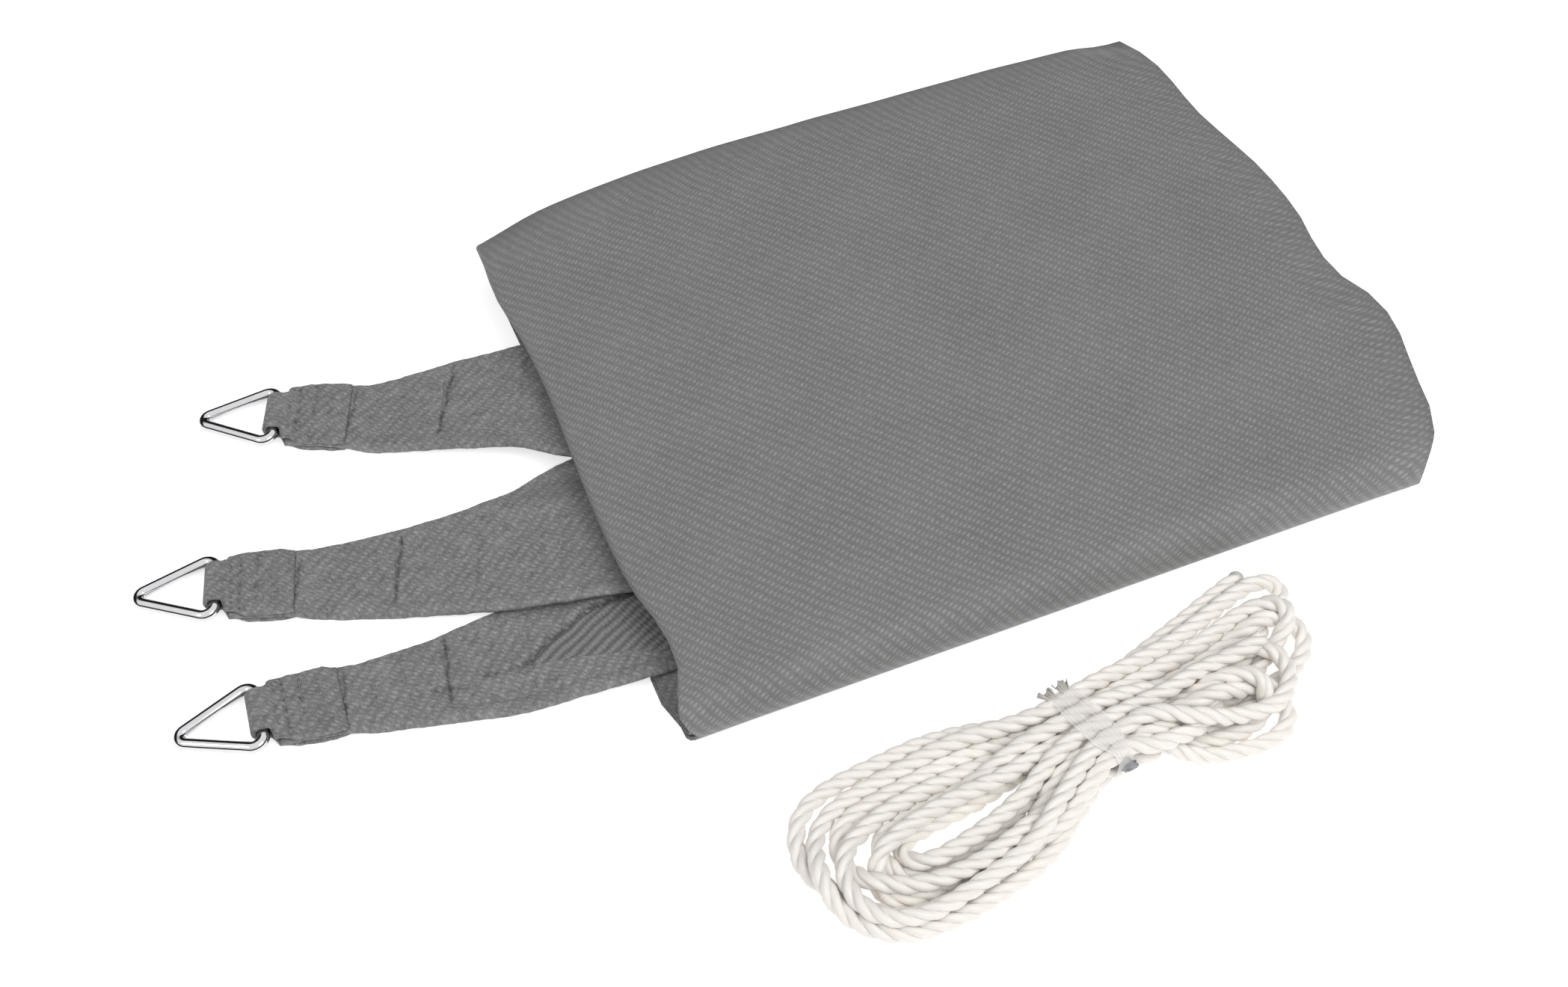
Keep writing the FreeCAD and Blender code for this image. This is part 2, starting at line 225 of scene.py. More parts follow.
# painted shade: the share of the yarn colour that is taken away in creases, seams and puckers
CREASE_PAINTED_SHADE = 0.5           # how much of the yarn colour a hollow takes away

# Colours in the gaps and on the yarn: of the packet, of the worn corners, and of hems.
FLAT_YARN = ((0.086, 0.086, 0.086), (0.320, 0.320, 0.318))
WORN_YARN = ((0.067, 0.067, 0.068), (0.348, 0.348, 0.345))
HEM_YARN = ((0.067, 0.067, 0.068), (0.352, 0.352, 0.349))


def slanted(along, across, slant):
    """The distance across lines that run at a slant to the yarn."""
    return across * math.cos(slant) - along * math.sin(slant)


def knit_finish(name, colours, contrast, fuzz, blotch, worn):
    """Knitted cloth. Worn cloth has lost part of its even lattice to fuzz."""
    finish = Finish(name, Roughness=0.78, Sheen_Weight=0.15, Sheen_Roughness=0.5)
    place = finish.own_map("knit")
    along, across, _ = finish.parts(place)
    slow = finish.grain(place, 0.045 + 0.1 * worn) * (1.8 + 8 * worn)
    rows = (slanted(along, across, ROW_SLANT) + slow).wave(ROW_PITCH)
    stitches = (slanted(along, across, STITCH_SLANT) + slow * 1.3).wave(STITCH_PITCH)
    uneven = finish.grain(place, 0.34, 3.0)
    lattice = rows * stitches
    yarn = lattice * (uneven * 2.0)
    fibre = finish.grain(place, 0.85, 4.0)
    motley = finish.grain(place, 0.12, 3.0)
    cloudy = finish.grain(place, 0.02, 2.0)
    # painted shade: a value on the mesh, high in creases, seams and stitch puckers, that darkens the
    # yarn where shade falls
    painted_shade = finish.node("ShaderNodeAttribute", {"attribute_name": "painted_shade"}, out=2)
    marks = (uneven + motley - 1.0) * blotch + (fibre - 0.5) * fuzz + (cloudy - 0.5) * 0.2
    tint = (yarn - LATTICE_MEAN) * contrast + marks + MIDDLE_TINT - painted_shade * CREASE_PAINTED_SHADE
    height = yarn * (0.8 - worn) + fibre * (0.35 + fuzz)
    return finish.give(
        Base_Color=finish.between(tint, *colours),
        Roughness=0.86 - yarn * 0.16,
        Normal=finish.bump(height, YARN_RAISE, 0.8),
    )


sail_finish = knit_finish("sail_knit", FLAT_YARN, contrast=0.40, fuzz=0.42, blotch=0.16, worn=0.1)
corner_finish = knit_finish("corner_knit", WORN_YARN, contrast=0.30, fuzz=0.85, blotch=0.48, worn=0.3)
hem_finish = knit_finish("hem_knit", HEM_YARN, contrast=0.25, fuzz=0.85, blotch=0.45, worn=0.3)
print("knit finishes:", sail_finish.name, corner_finish.name, hem_finish.name)


# %% [markdown]
# The reverse of the knit shows raised ribs, one for each run of stitches, with small
# holes between. It appears only where a corner's cloth is turned over.

# %% Reverse of the knit
RIB_PITCH, RIB_SLANT = 4.6, math.radians(31.0)
RUNG_PITCH, RUNG_SLANT = 2.2, math.radians(-62.0)


def ribbed_finish(name):
    finish = Finish(name, Roughness=0.8, Sheen_Weight=0.1)
    place = finish.own_map("knit")
    along, across, _ = finish.parts(place)
    wander = finish.grain(place, 0.09) * 2.4
    ribs = (slanted(along, across, RIB_SLANT) + wander).wave(RIB_PITCH)
    rungs = slanted(along, across, RUNG_SLANT).wave(RUNG_PITCH)
    speck = finish.grain(place, 0.9, 3.0)
    height = ribs ** 0.6 + rungs * 0.3 + speck * 0.5
    tint = ribs * 0.42 + rungs * ribs * 0.22 + speck * 1.0 - 0.30
    return finish.give(
        Base_Color=finish.between(tint, (0.085, 0.085, 0.086), (0.27, 0.27, 0.268)),
        Normal=finish.bump(height, 0.7 * MM, 0.9),
    )


ribbed = ribbed_finish("knit_reverse")
print("reverse of the knit:", ribbed.name)


# %% [markdown]
# ## The other finishes
#
# The rope's yarns are glossy white filaments that run along each strand, so its map is
# round the strand and along it, and the noise is drawn out along the strand. A little
# light passes through them, which softens the shade between two strands. The ring
# is stainless wire, polished but never a perfect mirror. The tie is stretch film, clear
# with milky streaks where it is folded over itself. Where a rope end was melted shut,
# the plastic went grey and glassy.

# %% Rope, steel, film and thread finishes
def rope_finish():
    finish = Finish("rope_yarn", Roughness=0.36, Sheen_Weight=0.1, Subsurface_Weight=0.2,
                    Subsurface_Scale=0.003, Subsurface_Radius=(1.0, 0.86, 0.72))
    place = finish.own_map("lay")
    fine = finish.grain(finish.scaled(place, (26.0, 0.16, 1.0)), 1.0, 3.0)
    broad = finish.grain(finish.scaled(place, (7.0, 0.05, 1.0)), 1.0, 2.0)
    tint = fine * 0.6 + broad * 0.6 - 0.1
    return finish.give(
        Base_Color=finish.between(tint, (0.73, 0.687, 0.635), (0.925, 0.896, 0.858)),
        Roughness=0.34 + fine * 0.2,
        Normal=finish.bump(fine * 0.7 + broad * 0.6, 0.16 * MM, 0.9),
    )


def steel_finish():
    finish = Finish("ring_polish", Metallic=1.0, Roughness=0.1)
    place = finish.node("ShaderNodeTexCoord", out=3)
    drawn = finish.grain(finish.scaled(place, (900.0, 900.0, 900.0)), 1.0, 2.0)
    cloudy = finish.grain(place, 120.0, 2.0)
    return finish.give(
        Base_Color=finish.between(cloudy, (0.60, 0.60, 0.61), (0.72, 0.72, 0.73)),
        Roughness=0.05 + drawn * 0.09,
        Normal=finish.bump(cloudy, 0.05 * MM, 0.3),
    )


def film_finish():
    finish = Finish("tie_film", Roughness=0.3, Coat_Weight=0.3)
    place = finish.own_map("wrap")
    streak = finish.grain(finish.scaled(place, (1.9, 0.06, 1.0)), 1.0, 4.0)
    milky = streak ** 2.0 * 1.9
    return finish.give(
        Base_Color=finish.between(streak, (0.90, 0.87, 0.84), (1.0, 0.985, 0.965)),
        Alpha=(0.10 + milky * 0.62).math("MINIMUM", 0.85),
        Normal=finish.bump(streak, 0.4 * MM, 0.8),
    )


def plain_finish(name, low, high, roughness, scale, depth):
    """A finish whose only detail is a soft grain in the object's own coordinates."""
    finish = Finish(name, Roughness=roughness)
    place = finish.node("ShaderNodeTexCoord", out=3)
    grain = finish.grain(place, scale, 3.0)
    return finish.give(
        Base_Color=finish.between(grain, low, high),
        Roughness=roughness - 0.1 + grain * 0.2,
        Normal=finish.bump(grain, depth, 0.6),
    )


rope_yarn = rope_finish()
ring_polish = steel_finish()
tie_film = film_finish()
gathered_film = plain_finish("gathered_film", (0.36, 0.34, 0.31), (0.66, 0.63, 0.59),
                             roughness=0.4, scale=420.0, depth=0.4 * MM)
knotted_film = plain_finish("knotted_film", (0.10, 0.105, 0.115), (0.42, 0.43, 0.45),
                            roughness=0.35, scale=260.0, depth=0.5 * MM)
melted_end = plain_finish("melted_end", (0.40, 0.40, 0.395), (0.62, 0.61, 0.59),
                          roughness=0.25, scale=300.0, depth=0.2 * MM)
thread = plain_finish("thread", (0.13, 0.13, 0.132), (0.24, 0.24, 0.242),
                      roughness=0.6, scale=1500.0, depth=0.1 * MM)
print(len(bpy.data.materials), "finishes in all")


# %% [markdown]
# ## Meshes from a grid of points
#
# Cloth and rope are surfaces with two directions, so each can be written as a grid of
# points: so many rows along, so many columns across. One helper turns such a grid into
# a mesh with its map, closes it round when the last column meets the first, and caps
# its ends. A second helper turns all the faces outwards and puts the piece on its body.

# %% Grid helper
def grid_faces(rows, columns, wrap, first=0):
    """The corner numbers of a grid's faces, row by row."""
    across = columns if wrap else columns - 1
    faces = []
    for row in range(rows - 1):
        for column in range(across):
            beside = (column + 1) % columns
            low = first + row * columns
            faces.append((low + column, low + beside,
                          low + columns + beside, low + columns + column))
    return faces


def mesh_from_grids(name, grids, maps, map_name, wrap=True, caps=True, painted_shades=None):
    """One mesh from several grids of points, each with a grid of map places."""
    points, places, faces = [], [], []
    for grid, place in zip(grids, maps):
        rows, columns = grid.shape[:2]
        first = len(points)
        points.extend(map(tuple, grid.reshape(-1, 3)))
        places.extend(map(tuple, place.reshape(-1, 2)))
        faces.extend(grid_faces(rows, columns, wrap, first))
        if caps:
            faces.append(tuple(range(first + columns - 1, first - 1, -1)))
            last = first + (rows - 1) * columns
            faces.append(tuple(range(last, last + columns)))
    mesh = bpy.data.meshes.new(name)
    mesh.from_pydata(points, [], faces)
    layer = mesh.uv_layers.new(name=map_name)
    corners = np.empty(len(mesh.loops), np.int64)
    mesh.loops.foreach_get("vertex_index", corners)
    layer.data.foreach_set("uv", np.array(places, np.float32)[corners].ravel())
    # painted shade for creases, seams and puckers, kept as a value on each point for the knit finish
    if painted_shades is not None:
        painted_shade = mesh.attributes.new("painted_shade", "FLOAT", "POINT")
        painted_shade.data.foreach_set("value", painted_shades.astype(np.float32).ravel())
    return mesh


def piece_from_mesh(name, mesh, material, body, turn_out=True):
    """An object that rides on a body, smooth, its faces outwards."""
    if turn_out:
        loose = bmesh.new()
        loose.from_mesh(mesh)
        bmesh.ops.recalc_face_normals(loose, faces=loose.faces)
        loose.to_mesh(mesh)
        loose.free()
    mesh.polygons.foreach_set("use_smooth", [True] * len(mesh.polygons))
    mesh.materials.append(material)
    piece = bpy.data.objects.new(name, mesh)
    bpy.context.scene.collection.objects.link(piece)
    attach(piece, body)
    return piece


def apply_modifier(piece, kind, **settings):
    """Adds one modifier and applies it, as a maker does with the menu."""
    bpy.ops.object.select_all(action="DESELECT")
    piece.select_set(True)
    bpy.context.view_layer.objects.active = piece
    modifier = piece.modifiers.new(kind.title(), kind)
    for name, value in settings.items():
        setattr(modifier, name, value)
    bpy.ops.object.modifier_apply(modifier=modifier.name)


print("a tube of 3 rows and 4 columns has", len(grid_faces(3, 4, True)), "side faces")


# %% [markdown]
# ## The rope's route
#
# The hank is one rope, wound in seven turns and bound at its waist. Each turn leaves
# the waist on its far side, goes round the left lobe, comes back through the waist on
# its near side and goes round the right lobe. In the left lobe the turns nest; in the
# right lobe they fan out, so each has its own few bends. Distances are in millimetres
# from the waist's middle: along a lobe, across it towards the far side, and up.

# %% Turns of the hank
ROPE_DIAMETER = 8.0 * MM
ROPE_RADIUS = ROPE_DIAMETER / 2
WAIST_MIDDLE = Vector((62.8, -246.4, 0.0)) * MM
WAIST_ANGLE = math.radians(14.0)
LEFT_ANGLE = math.radians(189.0)
RIGHT_ANGLE = math.radians(13.0)
TURNS = 7

# For each turn in the left lobe: how far its tip reaches, where its tip is across, how
# far across its far and near legs lie, and how high they are.
LEFT_TURNS = (
    (147, 13, 42, -36, 5, 5), (146, 0, 33, -44, 9, 5), (131, 9, 24, -33, 5, 12),
    (139, -12, 16, -39, 9, 12), (117, 1, 10, -25, 5, 5), (126, -17, 5, -31, 10, 5),
    (110, -8, 5, -19, 4, 12),
)
# For each turn in the right lobe: the bends from its near leg round to its far leg.
RIGHT_TURNS = (
    ((45, -30, 4), (85, -14, 4), (114, -2, 6), (131, 1, 9), (140, 11, 12), (131, 21, 14),
     (105, 20, 14), (60, 15, 13)),
    ((45, -27, 4), (85, -17, 5), (108, -12, 9), (120, -9, 11), (128, 0, 12), (122, 8, 13),
     (97, 10, 14), (60, 5, 14)),
    ((45, -31, 5), (85, -31, 5), (112, -29, 5), (126, -19, 5), (130, -6, 6), (121, 2, 9),
     (95, 2, 10), (60, -1, 11)),
    ((45, -33, 6), (78, -36, 6), (96, -33, 6), (106, -26, 7), (107, -16, 9), (98, -9, 10),
     (78, -7, 11), (45, -6, 12)),
    ((38, -28, 6), (60, -37, 5), (80, -40, 5), (91, -33, 6), (88, -23, 8), (70, -18, 9),
     (45, -12, 10)),
    ((26, -24, 4), (45, -40, 4), (61, -50, 4), (79, -53, 4), (92, -46, 4), (94, -35, 4),
     (82, -27, 5), (60, -23, 6), (40, -16, 8)),
)
MELTED_TAIL = ((121, 27, 5), (93, 24, 6), (60, 21, 8), (30, 19, 9))
CUT_TAIL = ((30, -4, 18), (56, -6, 19), (78, -9, 19), (97, -12, 18))


def in_lobe(angle, along, across, up):
    """A place in a lobe, in metres. Across is towards the packet in both lobes."""
    outward = Vector((math.cos(angle), math.sin(angle), 0.0))
    sign = 1.0 if math.cos(angle) > 0 else -1.0
    far = Vector((-outward.y, outward.x, 0.0)) * sign
    return WAIST_MIDDLE + (outward * along + far * across + Vector((0, 0, up))) * MM


def waist_slots():
    """Where the fourteen legs cross the waist, from its far side: (across, up)."""
    low, middle, high = 4.0, 10.9, 17.8
    slots = []
    for column in (16, 8, 0):
        slots += [(column, low), (column, high), (column - 4, middle)]
    slots += [(-8, low), (-8, high), (-12, middle), (-16, low), (-16, high)]
    return slots


SLOTS = waist_slots()


def through_waist(slot, heading):
    """Three points through the waist, heading to the left (-1) or to the right (1)."""
    across, up = SLOTS[slot]
    return [in_lobe(WAIST_ANGLE, heading * along, across, up) for along in (-11, 0, 11)]


def left_turn(turn):
    """Out along the far leg, round the tip, and back along the near leg."""
    tip, tip_across, far, near, far_up, near_up = LEFT_TURNS[turn]
    middle, half = (far + near) / 2, (far - near) / 2
    shoulder = tip - 0.9 * half
    far_slot, near_slot = SLOTS[turn], SLOTS[2 * TURNS - 1 - turn]
    points = []
    for along, share in ((32, 0.45), (56, 0.85)):
        points.append((along, far_slot[0] + (far - far_slot[0]) * share,
                       far_slot[1] + (far_up - far_slot[1]) * share))
    for step in range(1, 10):
        angle = math.radians(90 - 18 * step)
        points.append((shoulder + (tip - shoulder) * math.cos(angle),
                       middle + half * math.sin(angle) + (tip_across - middle) * math.cos(angle),
                       far_up + (near_up - far_up) * step / 10))
    for along, share in ((56, 0.85), (32, 0.45)):
        points.append((along, near_slot[0] + (near - near_slot[0]) * share,
                       near_slot[1] + (near_up - near_slot[1]) * share))
    return [in_lobe(LEFT_ANGLE, *point) for point in points]


def rough_route():
    """The whole rope, from its melted end to its cut end, before it settles."""
    route = [in_lobe(RIGHT_ANGLE, *point) for point in MELTED_TAIL]
    for turn in range(TURNS):
        route += through_waist(turn, -1)
        route += left_turn(turn)
        route += through_waist(2 * TURNS - 1 - turn, 1)
        if turn < TURNS - 1:
            route += [in_lobe(RIGHT_ANGLE, *point) for point in RIGHT_TURNS[turn]]
    return route + [in_lobe(RIGHT_ANGLE, *point) for point in CUT_TAIL]


rough = rough_route()
print(len(rough), "points in", TURNS, "turns")


# %% [markdown]
# ## Letting the rope settle
#
# Legs that are placed one by one cut through each other. A real rope pushes its own turns
# aside, lies on the floor and resists bending. That can be worked out with a chain of
# beads: each step straightens the chain a little, keeps the beads' spacing, pushes
# apart beads of different turns that are nearer than the rope is thick, keeps them
# above the floor, and holds the waist together as the tie does. The chain drifts only
# a little from where it started, and a smooth NURBS curve then runs along it.

# %% Settle
BEAD_SPACING = 4.0 * MM
SETTLE_STEPS = 160
LINK_STEPS = 3               # times that the beads' spacing is mended in each step
FALL = 0.04 * MM             # how far the beads sink in each step
STRAIGHTEN = 0.22            # share of a bend that is taken out in each step
RETURN = 0.012               # share of the drift from the start that is undone
SPREAD = 0.4                 # share of an overlap that is pushed apart
SAME_TURN = 4                # beads this near along the rope don't push each other
WAIST_HALF_WIDTH = 22.0 * MM
WAIST_HALF_LENGTH = 10.0 * MM
WAIST_TOP = 21.0 * MM
ROPE_LINE_STEP = 2.5 * MM


def resampled(points, spacing):
    """The same line with its points evenly spaced."""
    line = np.array([tuple(point) for point in points], float)
    along = np.concatenate([[0.0], np.cumsum(np.linalg.norm(np.diff(line, axis=0), axis=1))])
    places = np.linspace(0.0, along[-1], int(along[-1] / spacing) + 1)
    return np.stack([np.interp(places, along, line[:, axis]) for axis in range(3)], axis=1)


def nurbs_line(name, points, resolution):
    """A smooth NURBS curve through space, and the points along it."""
    curve = bpy.data.curves.new(name, "CURVE")
    curve.dimensions = "3D"
    spline = curve.splines.new("NURBS")
    spline.points.add(len(points) - 1)
    for knot, point in zip(spline.points, points):
        knot.co = (*point, 1.0)
    spline.order_u = 3
    spline.use_endpoint_u = True
    spline.resolution_u = resolution
    carrier = bpy.data.objects.new(name, curve)
    mesh = bpy.data.meshes.new_from_object(carrier)
    line = np.array([tuple(vertex.co) for vertex in mesh.vertices], float)
    bpy.data.objects.remove(carrier)
    bpy.data.meshes.remove(mesh)
    bpy.data.curves.remove(curve)
    return line


def push_apart(beads, reach):
    """Moves beads of different turns apart where they are nearer than the reach."""
    gap = beads[:, None, :] - beads[None, :, :]
    far = np.sqrt((gap ** 2).sum(2)) + 1e-9
    number = np.arange(len(beads))
    apart = np.abs(number[:, None] - number[None, :]) > SAME_TURN
    press = np.where(apart & (far < reach), (reach - far) / far, 0.0)
    return (gap * press[:, :, None]).sum(1) * SPREAD


def hold_waist(beads):
    """Keeps the beads under the tie inside its rounded section."""
    axis = np.array([math.cos(WAIST_ANGLE), math.sin(WAIST_ANGLE)])
    side = np.array([-axis[1], axis[0]])
    offset = beads[:, :2] - np.array(WAIST_MIDDLE)[:2]
    along, across = offset @ axis, offset @ side
    held = np.abs(along) < WAIST_HALF_LENGTH
    limit = WAIST_HALF_WIDTH - ROPE_RADIUS
    over = np.clip(np.abs(across) - limit, 0.0, None) * np.sign(across)
    beads[held, :2] -= (over[:, None] * side[None, :])[held]
    beads[held, 2] = np.minimum(beads[held, 2], WAIST_TOP - ROPE_RADIUS)


def settle(beads):
    """The chain of beads after it has sunk, spread and straightened."""
    start = beads.copy()
    lengths = np.linalg.norm(np.diff(beads, axis=0), axis=1)
    for _ in range(SETTLE_STEPS):
        beads[:, 2] -= FALL
        beads[1:-1] += STRAIGHTEN * ((beads[:-2] + beads[2:]) / 2 - beads[1:-1])
        beads[:, :2] += RETURN * (start[:, :2] - beads[:, :2])
        beads += push_apart(beads, ROPE_DIAMETER * 1.01)
        for _ in range(LINK_STEPS):
            link = np.diff(beads, axis=0)
            long = np.linalg.norm(link, axis=1) + 1e-9
            shift = link * ((long - lengths) / long)[:, None] * 0.45
            beads[:-1] += shift * 0.5
            beads[1:] -= shift * 0.5
        hold_waist(beads)
        beads[:, 2] = np.maximum(beads[:, 2], ROPE_RADIUS)
    return beads


beads = settle(resampled(nurbs_line("rough_rope", rough, 8), BEAD_SPACING))
KNOT_STEP = 2
rope_line = resampled(nurbs_line("rope_route", beads[::KNOT_STEP], 4), ROPE_LINE_STEP)


# %% [markdown]
# ## Laying the three strands
#
# A laid rope is three strands twisted round each other. A plain tube with a bump map
# never looks like one, because the strands' edges make the rope's outline scalloped. So
# each strand is a real tube along a helix round the route. The frame that carries the
# helix must not spin by itself, so each step turns it by the least that keeps it square
# to the route.

# %% Rope strands
STRANDS = 3
LAY_LENGTH = 3.5 * ROPE_DIAMETER
STRAND_RADIUS = 0.285 * ROPE_DIAMETER
HELIX_RADIUS = 0.262 * ROPE_DIAMETER
STRAND_SIDES = 9
STRAND_STEP = 2.3 * MM


def carried_frames(line):
    """Each point's direction and two sides, turned no more than the line turns."""
    ahead = np.gradient(line, axis=0)
    ahead /= np.linalg.norm(ahead, axis=1)[:, None]
    side = np.cross(ahead[0], (0.0, 0.0, 1.0))
    side /= np.linalg.norm(side)
    sides = [side]
    for direction in ahead[1:]:
        side = sides[-1] - direction * (sides[-1] @ direction)
        sides.append(side / np.linalg.norm(side))
    sides = np.array(sides)
    return ahead, sides, np.cross(ahead, sides)


def tube_rings(line, radii, sides_count):
    """Rings of points round a line, with their map: round, and along in mm."""
    _, side, up = carried_frames(line)
    turn = np.arange(sides_count) * 2 * math.pi / sides_count
    ring = side[:, None, :] * np.cos(turn)[None, :, None]
    ring = ring + up[:, None, :] * np.sin(turn)[None, :, None]
    grid = line[:, None, :] + ring * np.asarray(radii).reshape(-1, 1, 1)
    step = np.linalg.norm(np.diff(line, axis=0), axis=1)
    along = np.concatenate([[0.0], np.cumsum(step)]) / MM
    around = np.abs(np.linspace(-1.0, 1.0, sides_count, endpoint=False))
    place = np.stack(np.meshgrid(along, around, indexing="ij")[::-1], axis=2)
    return grid, place


def rope_strands(line):
    """The three strands as one mesh, each a tube along its own helix."""
    line = resampled(line, STRAND_STEP)
    _, side, up = carried_frames(line)
    step = np.linalg.norm(np.diff(line, axis=0), axis=1)
    along = np.concatenate([[0.0], np.cumsum(step)])
    grids, maps = [], []
    for strand in range(STRANDS):
        turn = 2 * math.pi * (along / LAY_LENGTH + strand / STRANDS)
        offset = side * np.cos(turn)[:, None] + up * np.sin(turn)[:, None]
        centre = line + offset * HELIX_RADIUS
        grid, place = tube_rings(centre, np.full(len(line), STRAND_RADIUS), STRAND_SIDES)
        place[:, :, 0] += strand * 3.7
        grids.append(grid)
        maps.append(place)
    return mesh_from_grids("hank_of_rope", grids, maps, "lay")


rope = piece_from_mesh("hank_of_rope", rope_strands(rope_line), rope_yarn, "rope",
                       turn_out=False)
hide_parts("rope_hank")
print("rope mesh", len(rope.data.polygons), "faces")


# %% [markdown]
# ## The folded sail
#
# The packet is not a box. It is one thin cloth, folded over and over: an outer panel
# whose five layers wrap round the near edge, and an inner panel folded to and fro
# between them. A solid block would show flat sides, so each panel is made as the real
# ribbon: its path runs back and forth in depth and height, and the ribbon is that path
# swept along the packet. No two layers end at the same place, which is what makes the
# loose end look like cloth. Solidify then gives the ribbon its thickness.

# %% Outlines of the packet
CLOTH = 0.68 * MM
LAYER = 0.8 * MM
WRAP_LAYERS = 5
STACK_LAYERS = 28
LEFT_END = packet_low.x / MM
NEAR_EDGE = packet_low.y / MM
HEIGHT = (packet_high.z - packet_low.z) / MM
MOUTH_DEPTH = 35.0           # of the hollow at the left end that the corners come out of
MOUTH_LOW, MOUTH_HIGH = 4.6, 19.4
THIN_RIGHT, THIN_FAR, THIN_LEFT = 0.13, 0.12, 0.05   # share of height lost at the ends

# The outlines, each as a few places that a smooth line runs through, in millimetres.
FAR_OUTLINE = ((-104, 154), (-64, 166), (-7, 175), (95, 179), (220, 179), (304, 177))
RIGHT_OUTLINE = ((-181, 287), (-168, 300), (-124, 318), (-92, 328), (-76, 329), (-57, 322),
                 (-34, 321), (-9, 326), (31, 327), (84, 319), (141, 317), (168, 309), (180, 298))
LEFT_OUTLINE = ((-181, -106), (-176, -109), (-168, -107), (-152, -101), (-124, -100), (-104, -104),
                (-55, -106), (-4, -104), (50, -102), (85, -103), (122, -106), (155, -104))
UNDER_OUTLINE = ((-181, -101), (-176, -105), (-165, -106), (-158, -107), (-149, -110), (-135, -110),
                 (-110, -104), (0, -100), (155, -100))


def through(points, places):
    """A smooth line through a few (place, value) points, read at other places."""
    at, value = np.array(points, float).T
    slope = np.gradient(value, at)
    places = np.clip(places, at[0], at[-1])
    cell = np.clip(np.searchsorted(at, places) - 1, 0, len(at) - 2)
    width = at[cell + 1] - at[cell]
    share = (places - at[cell]) / width
    square, cube = share ** 2, share ** 3
    return ((2 * cube - 3 * square + 1) * value[cell]
            + (cube - 2 * square + share) * width * slope[cell]
            + (3 * square - 2 * cube) * value[cell + 1]
            + (cube - square) * width * slope[cell + 1])


def ease(low, high, value):
    """0 below low, 1 above high, and smooth between."""
    share = np.clip((value - low) / (high - low), 0.0, 1.0)
    return share * share * (3 - 2 * share)


def soft_noise(x, y, size, seed):
    """Noise from -1 to 1 over arrays of places, in millimetres, of a given grain."""
    flat = [noise.noise(Vector((a / size, b / size, seed)))
            for a, b in zip(np.ravel(x), np.ravel(y))]
    return np.array(flat).reshape(np.shape(x))


def swell(x, y):
    """How much of its height the stack keeps at a place: less towards its loose ends."""
    right = through(RIGHT_OUTLINE, y)
    far = through(FAR_OUTLINE, x)
    keep = 1.0 - THIN_RIGHT * ease(30.0, 0.0, right - x) - THIN_FAR * ease(28.0, 0.0, far - y)
    keep = keep - THIN_LEFT * ease(40.0, 0.0, x - LEFT_END)
    keep = keep + 0.030 * soft_noise(x, y, 75.0, 3.1) + 0.016 * soft_noise(x, y, 28.0, 7.7)
    return np.minimum(keep, 1.0)


print(WRAP_LAYERS, "layers wrap round", STACK_LAYERS, "folded ones, as high as", round(HEIGHT), "mm")


# %% [markdown]
# A path is a list of rows, one for each step along the cloth. A row says how far it
# reaches towards the far edge, how far it bulges past the near fold, its height and its
# layer. The ribbon turns each row into points from the left end to the right end. Every
# layer has its own ragged ends, and the outermost one is curled under on the left.

# %% Ribbon
RUN_STEPS = 22
BEND_STEPS = 12
STACK_STEPS = 12
LEFT_CURL = 2.7              # radius that the outermost layer is turned under by
TIGHT_CURL = 0.8             # the same, where the layer goes round the near fold
CURL_STEPS = 7
WRAP_COLUMNS, STACK_COLUMNS = 46, 34
ROUGH_FAR_EDGE = 165.0       # near enough for finding a row's left and right ends
FAR_INSET = 0.864            # how far the outermost layer stops short of the outline
STACK_SLACK = 0.3            # how far the stack presses into the wrap's fold
RAGGED, LONG_WAVE, SHORT_WAVE = 6.5, 3.5, 2.0
fold_middle = NEAR_EDGE + HEIGHT / 2


def wrap_path():
    """The outer panel's path: (reach to the far edge, y past that, z, layer, curl)."""
    path = []
    for layer in range(WRAP_LAYERS):
        inset = (CLOTH / 2 + layer * LAYER) / MM
        radius = HEIGHT / 2 - inset
        rows = [(reach, 0.0, HEIGHT - inset, layer, 1.0)
                for reach in np.linspace(1.0, 0.0, RUN_STEPS)]
        for step in range(1, BEND_STEPS):
            angle = math.pi * step / BEND_STEPS
            rows.append((0.0, -radius * math.sin(angle),
                         HEIGHT / 2 + radius * math.cos(angle), layer,
                         float(ease(75.0, 25.0, math.degrees(angle)))))
        rows += [(reach, 0.0, inset, layer, 0.0) for reach in np.linspace(0.0, 1.0, RUN_STEPS)]
        path += rows if layer % 2 == 0 else rows[::-1]
    return path


def stack_path():
    """The inner panel's path, to and fro, layer upon layer."""
    path = []
    inner_radius = HEIGHT / 2 - WRAP_LAYERS * LAYER / MM + STACK_SLACK
    for layer in range(STACK_LAYERS):
        height = (WRAP_LAYERS * LAYER + CLOTH / 2 + layer * LAYER) / MM
        drop = math.sqrt(max(inner_radius ** 2 - (height - HEIGHT / 2) ** 2, 0.0))
        rows = [(reach, -drop * (1.0 - reach), height, WRAP_LAYERS + layer, 0.0)
                for reach in np.linspace(0.0, 1.0, STACK_STEPS)]
        path += rows if layer % 2 == 0 else rows[::-1]
    return path


